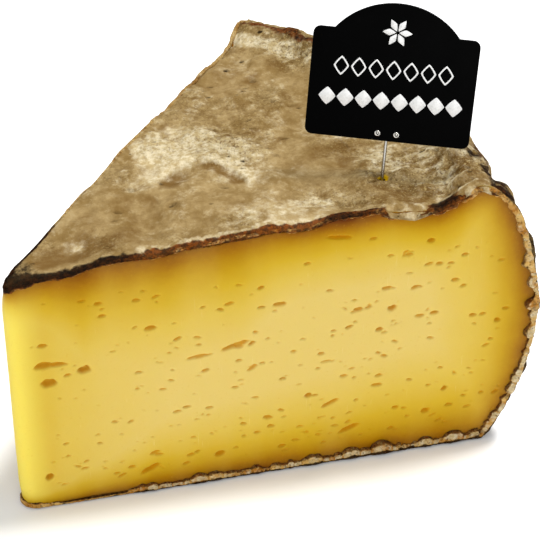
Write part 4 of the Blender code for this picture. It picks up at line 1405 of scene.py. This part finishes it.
# %% Width and stand of the crust round a cut
class CrustRun:
    """The crust's path round one cut, and its width, stand and place over the edge along the way."""

    def __init__(self, side, step):
        self.path, self.out = crust_path(side, step)
        where, _ = cut_point(self.path[:, 0], self.path[:, 1])
        self.along = where[:, 0] if side > 0 else back_distance(where)
        self.on_top = limited(self.out[:, 1])
        self.on_base = limited(-self.out[:, 1])
        self.on_rim = 1.0 - self.on_top - self.on_base
        travel = np.arange(len(self.path)) * step
        self.bead, self.tint, self.crease = bead_chain(travel, 95 if side > 0 else 96)
        self.calm = self.on_top * smoothstep(30.0, 20.0, self.along)
        self.set_sizes(side)
        if side > 0:
            self.add_rim_lumps()
            flaky = flakiness(self.along) * self.on_top
            self.width = self.width + 1.3 * flaky
            self.over = self.over - 1.1 * flaky * self.on_top

    def set_sizes(self, side):
        """Sizes by the stretch: ragged along the top, beaded along the base and down the rim."""
        spot = stack(self.path[:, 0], self.path[:, 1], side)
        ragged = 0.5 * smooth_noise(spot, 2.7, 81) + 0.55 * smooth_noise(spot, 0.9, 82)
        ragged = 1.0 + ragged * (1.0 - 0.6 * self.calm)
        lumpy_base = smoothstep(21.0, 25.0, self.along)
        base_width = np.interp(self.along, BASE_STATIONS, BASE_WIDTHS)
        width = self.on_top * np.interp(self.along, CRUST_STATIONS, CRUST_WIDTHS) * ragged
        width = np.maximum(width, self.on_top * LEAST_WIDTH)
        width = width + self.on_base * base_width * (1.0 - lumpy_base * (0.6 - 0.55 * self.bead))
        beaded = 0.55 + 1.1 * self.bead + 0.35 * smooth_noise(spot, 1.3, 83)
        stand = self.on_top * np.interp(self.along, CRUST_STATIONS, CRUST_STANDS)
        stand = stand * (1.0 if side > 0 else BACK_CRUST)
        stand = stand + self.on_base * (0.1 + 0.4 * self.bead * lumpy_base)
        self.width = width + self.on_rim * beaded
        self.stand = stand + self.on_rim * 0.7 * self.bead
        self.over = 0.12 * self.on_rim - 0.1 * self.on_base - 0.15 * self.on_top

    def add_rim_lumps(self):
        """Widens and raises the strip at the named lumps, which have no creases."""
        for height, size, wide, high in RIM_LUMPS:
            bell = np.exp(-(((self.path[:, 1] - height) / (0.5 * size)) ** 4)) * self.on_rim
            self.width = self.width + wide * bell
            self.stand = self.stand + high * bell
            self.crease = self.crease * (1.0 - bell)


print("the crust's greatest width is", CrustRun(1, 1.0).width.max().round(1), "mm")

# %% Build the crust
def make_crust(name, side, step):
    """One strip: rings across the edge, sized and coloured by the stretch, then pushed out in lumps."""
    run = CrustRun(side, step)
    swing = np.linspace(0.0, 2.0 * np.pi, CRUST_SIDES, endpoint=False)[None, :]
    across = np.sign(np.cos(swing)) * np.abs(np.cos(swing)) ** 0.75
    forward = np.sign(np.sin(swing)) * np.abs(np.sin(swing)) ** 0.75
    shift = (0.5 * (run.over - run.width))[:, None] + (0.5 * (run.width + run.over))[:, None] * across
    share = 0.5 + 0.5 * across
    path = run.path
    out = run.out
    on_top = run.on_top[:, None]
    on_base = run.on_base[:, None]
    along = run.along[:, None]
    foot = on_base * smoothstep(0.55, 0.8, share)
    taper = 1.0 - on_top * (1.0 - share) ** 1.5
    proud = run.stand[:, None] * taper - 0.25 * (1.0 - taper) + 0.3 * foot
    depth = 0.5 * (proud - CRUST_TUCK) + 0.5 * (proud + CRUST_TUCK) * forward
    place, normal = cut_point(path[:, :1] + out[:, :1] * shift, path[:, 1:] + out[:, 1:] * shift)
    rings = place + normal * depth[..., None]
    tangent = stack(-normal[..., 1], normal[..., 0], 0.0)
    sideways = out[:, None, :1] * tangent + out[:, None, 1:] * np.array([0.0, 0.0, 1.0])
    swell = np.clip(across, -0.8, 0.5)[..., None] * sideways
    swell = swell + limited(forward)[..., None] * normal
    bent = rings + 0.6 * layered_noise(rings, 1.5, 90, 2)[..., None]
    big = round_lumps(bent, 1.7, 91)
    small = round_lumps(bent, 0.8, 92)
    craggy = 0.3 + 0.4 * (1.0 - on_top) + 0.35 * on_top * smoothstep(62.0, 70.0, along)
    craggy = (craggy - 0.18 * run.calm[:, None]) * (1.0 - foot)
    craggy = craggy * (1.0 if side > 0 else 1.0 - (1.0 - BACK_CRUST) * on_top)
    lumpy = craggy * (0.8 * (big - 0.55) + 0.35 * (small - 0.6))
    lumpy = lumpy + 0.07 * layered_noise(rings, 0.8, 93, 2)
    rings = rings + swell * lumpy[..., None]
    rings[..., 2] = np.maximum(rings[..., 2], 0.3)
    extras = crust_extras(rings, side, run, share, big, small)
    return ring_piece(name, rings, rind_finish, extras=extras)


crust_front = make_crust("crust_front", 1, 0.16)
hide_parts("cheese")
crust_back = make_crust("crust_back", -1, 0.34)
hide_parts("cheese")
print("crusts have", len(crust_front.data.polygons), "and", len(crust_back.data.polygons), "faces")

# %% [markdown]
# ## Sign
#
# The sign is a small plate of black plastic with an arched top, printed in white. Its edge is softly
# rounded, which shows as a fine line of light. It stands on a thin steel pin that is clamped behind
# it by a tab and two hollow rivets. The plate and tab are outlines carried through their thickness,
# and the pin and rivets are profiles turned round a middle line.

# %% Sign sizes and its own directions
SIGN_WIDTH = 31.5
SIGN_SIDE = 21.4
SIGN_CORNER = 1.4
SIGN_THICKNESS = 0.8
ARCH_WIDTH = 23.5
ARCH_RISE = 5.7
SIGN_TURN = math.radians(-18.7)
SIGN_LEAN = math.radians(13.4)
SIGN_ROLL = math.radians(3.3)
PIN_SHOWN = 7.4
PIN_OVERLAP = 3.6
PIN_SUNK = 6.0
GAP = 0.3
TAB_WIDTH = 6.0
TAB_HEIGHT = 2.4
TAB_THICKNESS = 0.4
TAB_CORNER = 0.6
RIVET_SPACING = 3.6
RIVET_HEIGHT = 1.5
RIVET_HEAD = 0.62

turned_sign = Matrix.Rotation(SIGN_TURN, 4, "Z") @ Matrix.Rotation(-SIGN_LEAN, 4, "X")
sign_matrix = Matrix.Translation(Vector(PIN_PLACE)) @ turned_sign @ Matrix.Rotation(SIGN_ROLL, 4, "Y")
sign_axes = np.array(sign_matrix.to_3x3())
sign_origin = np.array(sign_matrix.translation)


def on_sign(points):
    """Turns points of the sign's own width, depth and height into wedge millimetres."""
    return points @ sign_axes.T + sign_origin


def arc(centre, radius, start, end, steps):
    """Points on an arc between two angles in degrees, both ends included."""
    angle = np.radians(np.linspace(start, end, steps + 1))
    return np.stack([centre[0] + radius * np.cos(angle), centre[1] + radius * np.sin(angle)], axis=1)


def sign_outline():
    """Rounded corners, straight sides and an arch standing on the shoulders, anticlockwise."""
    inner = SIGN_WIDTH / 2.0 - SIGN_CORNER
    arch_radius = ((ARCH_WIDTH / 2.0) ** 2 + ARCH_RISE**2) / (2.0 * ARCH_RISE)
    arch_middle = (0.0, SIGN_SIDE + ARCH_RISE - arch_radius)
    arch_end = math.degrees(math.asin(ARCH_WIDTH / 2.0 / arch_radius))
    parts = (
        arc((-inner, SIGN_CORNER), SIGN_CORNER, 180.0, 270.0, 10),
        arc((inner, SIGN_CORNER), SIGN_CORNER, 270.0, 360.0, 10),
        arc((inner, SIGN_SIDE - SIGN_CORNER), SIGN_CORNER, 0.0, 90.0, 10),
        arc(arch_middle, arch_radius, 90.0 - arch_end, 90.0 + arch_end, 60),
        arc((-inner, SIGN_SIDE - SIGN_CORNER), SIGN_CORNER, 90.0, 180.0, 10),
    )
    return np.concatenate(parts) + [0.0, PIN_SHOWN]


def inset(outline, amount):
    """Moves each point of an outline inwards along the middle of its two edges' directions."""
    edge = np.roll(outline, -1, axis=0) - outline
    edge /= np.linalg.norm(edge, axis=1, keepdims=True) + 1e-9
    normal = np.stack([-edge[:, 1], edge[:, 0]], axis=1)
    both = normal + np.roll(normal, 1, axis=0)
    both /= np.linalg.norm(both, axis=1, keepdims=True) + 1e-9
    return outline + both * amount


def rounded_plate(outline, front, back, rounding):
    """Rings of a plate through its thickness, its two edges rounded by quarter arcs."""
    bends = np.radians(np.linspace(0.0, 90.0, 5))
    rings = []
    for bend in bends:
        flat = inset(outline, rounding * (1.0 - math.sin(bend)))
        rings.append(stack(flat[:, 0], -front + rounding * (1.0 - math.cos(bend)), flat[:, 1]))
    for bend in bends[::-1]:
        flat = inset(outline, rounding * (1.0 - math.sin(bend)))
        rings.append(stack(flat[:, 0], -back - rounding * (1.0 - math.cos(bend)), flat[:, 1]))
    return np.array(rings)


def turned(profile, sides=32):
    """Rings of a shape turned round the sign's height direction: radius and height for each ring."""
    turn = np.linspace(0.0, 2.0 * np.pi, sides, endpoint=False)
    radius, height = np.array(profile).T
    return stack(radius[:, None] * np.cos(turn), radius[:, None] * np.sin(turn), height[:, None])


print("sign's outline has", len(sign_outline()), "points")

# %% [markdown]
# Black plastic is nearly a mirror seen at a slant and shows dust and fine rubbing up close, so its
# roughness varies a little. White print is matt. Steel is bright, with faint streaks along the wire.

# %% Sign finishes
def make_black_finish():
    """Nearly black, with a little dust and an uneven gloss."""
    finish, shader, wire = start_finish("black_plastic", Specular_IOR_Level=0.015)
    place = millimetres(wire)
    dust = texture(wire, place, 1.4, 5.0, 0.7)
    link(dust.between(0.55, 0.8).mix(paint(1, 1, 1), paint(4, 4, 5)), shader, "Base Color")
    link(texture(wire, place, 6.0, 4.0) * 0.22 + 0.34, shader, "Roughness")
    link(bump(wire, texture(wire, place, 0.25, 2.0), 0.01, 0.3), shader, "Normal")
    return finish


def make_print_finish():
    """White, slightly worn."""
    finish, shader, wire = start_finish("white_print", Specular_IOR_Level=0.3)
    place = millimetres(wire)
    worn = texture(wire, place, 0.5, 4.0, 0.7).between(0.35, 0.5)
    link(worn.mix(paint(236, 236, 234), paint(252, 252, 250)), shader, "Base Color")
    link(worn * 0.1 + 0.45, shader, "Roughness")
    return finish


def make_steel_finish():
    """Metal with streaks along the wire."""
    finish, shader, wire = start_finish("steel", Metallic=1.0)
    place = millimetres(wire)
    streaks = texture(wire, stretched(wire, place, (6.0, 6.0, 0.4)), 1.0, 3.0)
    link(streaks.mix(paint(168, 164, 156), paint(226, 224, 218)), shader, "Base Color")
    link(streaks * 0.16 + 0.14, shader, "Roughness")
    return finish


black_finish = make_black_finish()
print_finish = make_print_finish()
steel_finish = make_steel_finish()
print("finishes of the sign:", black_finish.name, print_finish.name, steel_finish.name)

# %% Build the plate, tab, pin and rivets
plate_back = PIN_RADIUS + GAP
plate_front = plate_back + SIGN_THICKNESS
tab_front = -PIN_RADIUS - GAP
tab_back = tab_front - TAB_THICKNESS
rivet_z = PIN_SHOWN + RIVET_HEIGHT
PLATE_ROUNDING = 0.14
TAB_ROUNDING = 0.08
SHARP_ANGLE = math.radians(35.0)
RIVET_SHARP_ANGLE = math.radians(40.0)

plate_rings = rounded_plate(sign_outline(), plate_front, plate_back, PLATE_ROUNDING)
plate = ring_piece("plate", on_sign(plate_rings), black_finish)
plate.data.set_sharp_from_angle(angle=SHARP_ANGLE)
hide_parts("sign_plate")

tab_low = rivet_z - TAB_HEIGHT / 2.0 + TAB_CORNER
tab_high = rivet_z + TAB_HEIGHT / 2.0 - TAB_CORNER
tab_side = TAB_WIDTH / 2.0 - TAB_CORNER
tab_outline = np.concatenate([
    arc((-tab_side, tab_low), TAB_CORNER, 180.0, 270.0, 6),
    arc((tab_side, tab_low), TAB_CORNER, 270.0, 360.0, 6),
    arc((tab_side, tab_high), TAB_CORNER, 0.0, 90.0, 6),
    arc((-tab_side, tab_high), TAB_CORNER, 90.0, 180.0, 6),
])
tab_rings = rounded_plate(tab_outline, tab_front, tab_back, TAB_ROUNDING)
tab = ring_piece("tab", on_sign(tab_rings), steel_finish)
tab.data.set_sharp_from_angle(angle=SHARP_ANGLE)
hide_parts("pin_tab")

pin_profile = (
    (0.05, -PIN_SUNK), (PIN_RADIUS, -PIN_SUNK + 1.5), (PIN_RADIUS, 0.0), (PIN_RADIUS, PIN_SHOWN),
    (PIN_RADIUS, PIN_SHOWN + PIN_OVERLAP - 0.12), (0.7 * PIN_RADIUS, PIN_SHOWN + PIN_OVERLAP),
)
pin = ring_piece("pin", on_sign(turned(pin_profile)), steel_finish)
pin.data.set_sharp_from_angle(angle=SHARP_ANGLE)
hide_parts("sign_pin")


def rivet_rings(side):
    """A hollow rivet: its head curls over in front, has a dimple, and a second head closes it behind."""
    front = plate_front + 0.02
    back = tab_back - 0.02
    bead = np.radians(np.linspace(0.0, 180.0, 9))
    ring_middle = 0.5 * (RIVET_HEAD + 0.24)
    ring_half = 0.5 * (RIVET_HEAD - 0.24)
    curl = np.stack([ring_middle + ring_half * np.cos(bead), front + 0.2 * np.sin(bead)], axis=1)
    profile = np.concatenate([
        [[0.2, back - 0.16], [0.45, back - 0.15], [RIVET_HEAD, back - 0.05], [RIVET_HEAD, back]],
        [[0.3, back], [0.3, front]],
        curl,
        [[0.2, front - 0.03], [0.06, front]],
    ])
    shape = turned(profile, 28)
    return stack(shape[..., 0] + side * RIVET_SPACING / 2.0, -shape[..., 2], shape[..., 1] + rivet_z)


for name, side in (("left", -1.0), ("right", 1.0)):
    rivet = ring_piece("rivet_head_" + name, on_sign(rivet_rings(side)), steel_finish)
    rivet.data.set_sharp_from_angle(angle=RIVET_SHARP_ANGLE)
    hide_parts("rivet_" + name)
print("plate, tab, pin and two rivets made")

# %% [markdown]
# ## Print on the sign
#
# Shop signs like this carry a small white ornament and lines of print. Here the ornament is a plain
# rosette of petals and the lines are a row of thin lozenges over a row of bold ones, an old border
# pattern. Each shape is a thin film of paint with its own outline, a hair above the plate.

# %% Build the print
PRINT_LIFT = 0.03
PRINT_SINK = 0.05
THIN_COUNT = 7
THIN_SPACING = 3.3
THIN_HEIGHT = PIN_SHOWN + 14.2
BOLD_COUNT = 8
BOLD_SPACING = 3.45
BOLD_HEIGHT = PIN_SHOWN + 8.0
PETAL_COUNT = 6
ROSETTE_HEIGHT = PIN_SHOWN + 21.6


def film(outline):
    """Two rings of one outline: the film's face and its underside."""
    front = stack(outline[:, 0], -plate_front - PRINT_LIFT, outline[:, 1])
    back = stack(outline[:, 0], -plate_front + PRINT_SINK, outline[:, 1])
    return np.array([front, back])


def lozenge(middle_x, middle_z, half_width, half_height):
    """Four corners, drawn in a little by a rounder curve between them."""
    turn = np.linspace(0.0, 2.0 * np.pi, 24, endpoint=False)
    x = np.sign(np.cos(turn)) * np.abs(np.cos(turn)) ** 1.7
    z = np.sign(np.sin(turn)) * np.abs(np.sin(turn)) ** 1.7
    return np.stack([middle_x + half_width * x, middle_z + half_height * z], axis=1)


def film_ring(outer, inner):
    """Four rings that make a thin frame between an outer and an inner outline."""
    return np.array([film(outer)[0], film(outer)[1], film(inner)[1], film(inner)[0]])


def printed(name, rings, closed=False):
    """Makes one shape of the print."""
    ring_piece(name, on_sign(rings), print_finish, closed=closed, smooth=False)


for number in range(THIN_COUNT):
    x = (number - 0.5 * (THIN_COUNT - 1)) * THIN_SPACING
    outer = lozenge(x, THIN_HEIGHT, 1.45, 1.9)
    inner = lozenge(x, THIN_HEIGHT, 1.1, 1.5)
    printed(f"thin_lozenge_{number}", film_ring(outer, inner), closed=True)
for number in range(BOLD_COUNT):
    x = (number - 0.5 * (BOLD_COUNT - 1)) * BOLD_SPACING
    printed(f"bold_lozenge_{number}", film(lozenge(x, BOLD_HEIGHT, 1.6, 1.75)))
petal = lozenge(0.0, 1.55, 0.62, 1.25)
for number in range(PETAL_COUNT):
    x, z = tilted(petal[:, 0], petal[:, 1], -360.0 / PETAL_COUNT * (number + 0.5))
    printed(f"petal_{number}", film(np.stack([x, z + ROSETTE_HEIGHT], axis=1)))
print("print has", THIN_COUNT + BOLD_COUNT + PETAL_COUNT, "shapes")

# %% [markdown]
# ## Floor, light and camera
#
# The wedge stands on a plain white floor in soft light. A small key light hangs nearly overhead, a
# little to the right and behind, and brings out the rind's relief. A broad low light in front fills the
# cut, a weaker one on the left brightens the nose, and the surround is even and pale. The camera looks
# down by about 36 degrees from well back with a long lens, from a little left of the front cut's middle.

# %% Floor
FLOOR_HALF = 3.0
FLOOR_WHITE = 0.93


def make_floor():
    """One flat square under the wedge."""
    finish, shader, _ = start_finish("floor", Roughness=0.9, Specular_IOR_Level=0.1)
    shader.inputs["Base Color"].default_value = (FLOOR_WHITE, FLOOR_WHITE, FLOOR_WHITE, 1.0)
    corners = [(x * FLOOR_HALF, y * FLOOR_HALF, 0.0) for x, y in ((-1, -1), (1, -1), (1, 1), (-1, 1))]
    mesh = bpy.data.meshes.new("floor")
    mesh.from_pydata(corners, [], [(0, 1, 2, 3)])
    mesh.materials.append(finish)
    floor = bpy.data.objects.new("floor", mesh)
    bpy.context.scene.collection.objects.link(floor)


make_floor()
print("floor is", 2.0 * FLOOR_HALF, "m wide")

# %% Light
LIGHT_TARGET = (0.0, 0.0, 0.03)
SURROUND_STRENGTH = 0.56
# Each light: place in metres, size in metres and power in watts.
LIGHTS = {
    "key": ((0.45, 0.12, 1.25), 0.24, 20.0),
    "left": ((-1.4, -0.35, 0.55), 0.8, 5.0),
    "front": ((-0.1, -1.75, 0.45), 1.0, 13.5),
}


def area_light(name, place, size, power):
    """A square light at a place, turned to the wedge."""
    data = bpy.data.lights.new(name, "AREA")
    data.energy = power
    data.size = size
    lamp = bpy.data.objects.new(name, data)
    lamp.location = place
    lamp.rotation_euler = (Vector(LIGHT_TARGET) - Vector(place)).to_track_quat("-Z", "Y").to_euler()
    bpy.context.scene.collection.objects.link(lamp)


for name, values in LIGHTS.items():
    area_light(name, *values)
world = bpy.data.worlds.new("surround")
world.use_nodes = True
surround = world.node_tree.nodes["Background"]
surround.inputs["Color"].default_value = (1.0, 1.0, 1.0, 1.0)
surround.inputs["Strength"].default_value = SURROUND_STRENGTH
bpy.context.scene.world = world
print("lights:", ", ".join(LIGHTS))

# %% Camera
EYE = np.array([-20.73, -297.14, 275.48])
TARGET = np.array([56.99, 28.22, 29.52])
LENS = 133.85
SENSOR_WIDTH = 36.0
camera_data = bpy.data.cameras.new("camera")
camera_data.lens = LENS
camera_data.sensor_width = SENSOR_WIDTH
camera_data.clip_start = 0.01
camera = bpy.data.objects.new("camera", camera_data)
bpy.context.scene.collection.objects.link(camera)
camera.location = (EYE + wheel_middle) * MM
camera.rotation_euler = Vector(TARGET - EYE).to_track_quat("-Z", "Y").to_euler()
bpy.context.scene.camera = camera
bpy.context.scene.view_settings.view_transform = "Standard"
bpy.context.scene.view_settings.look = "None"
print("camera is", round(float(np.linalg.norm(TARGET - EYE))), "mm from its target")

# %% Count the pieces
print("pieces:", len(made_pieces))
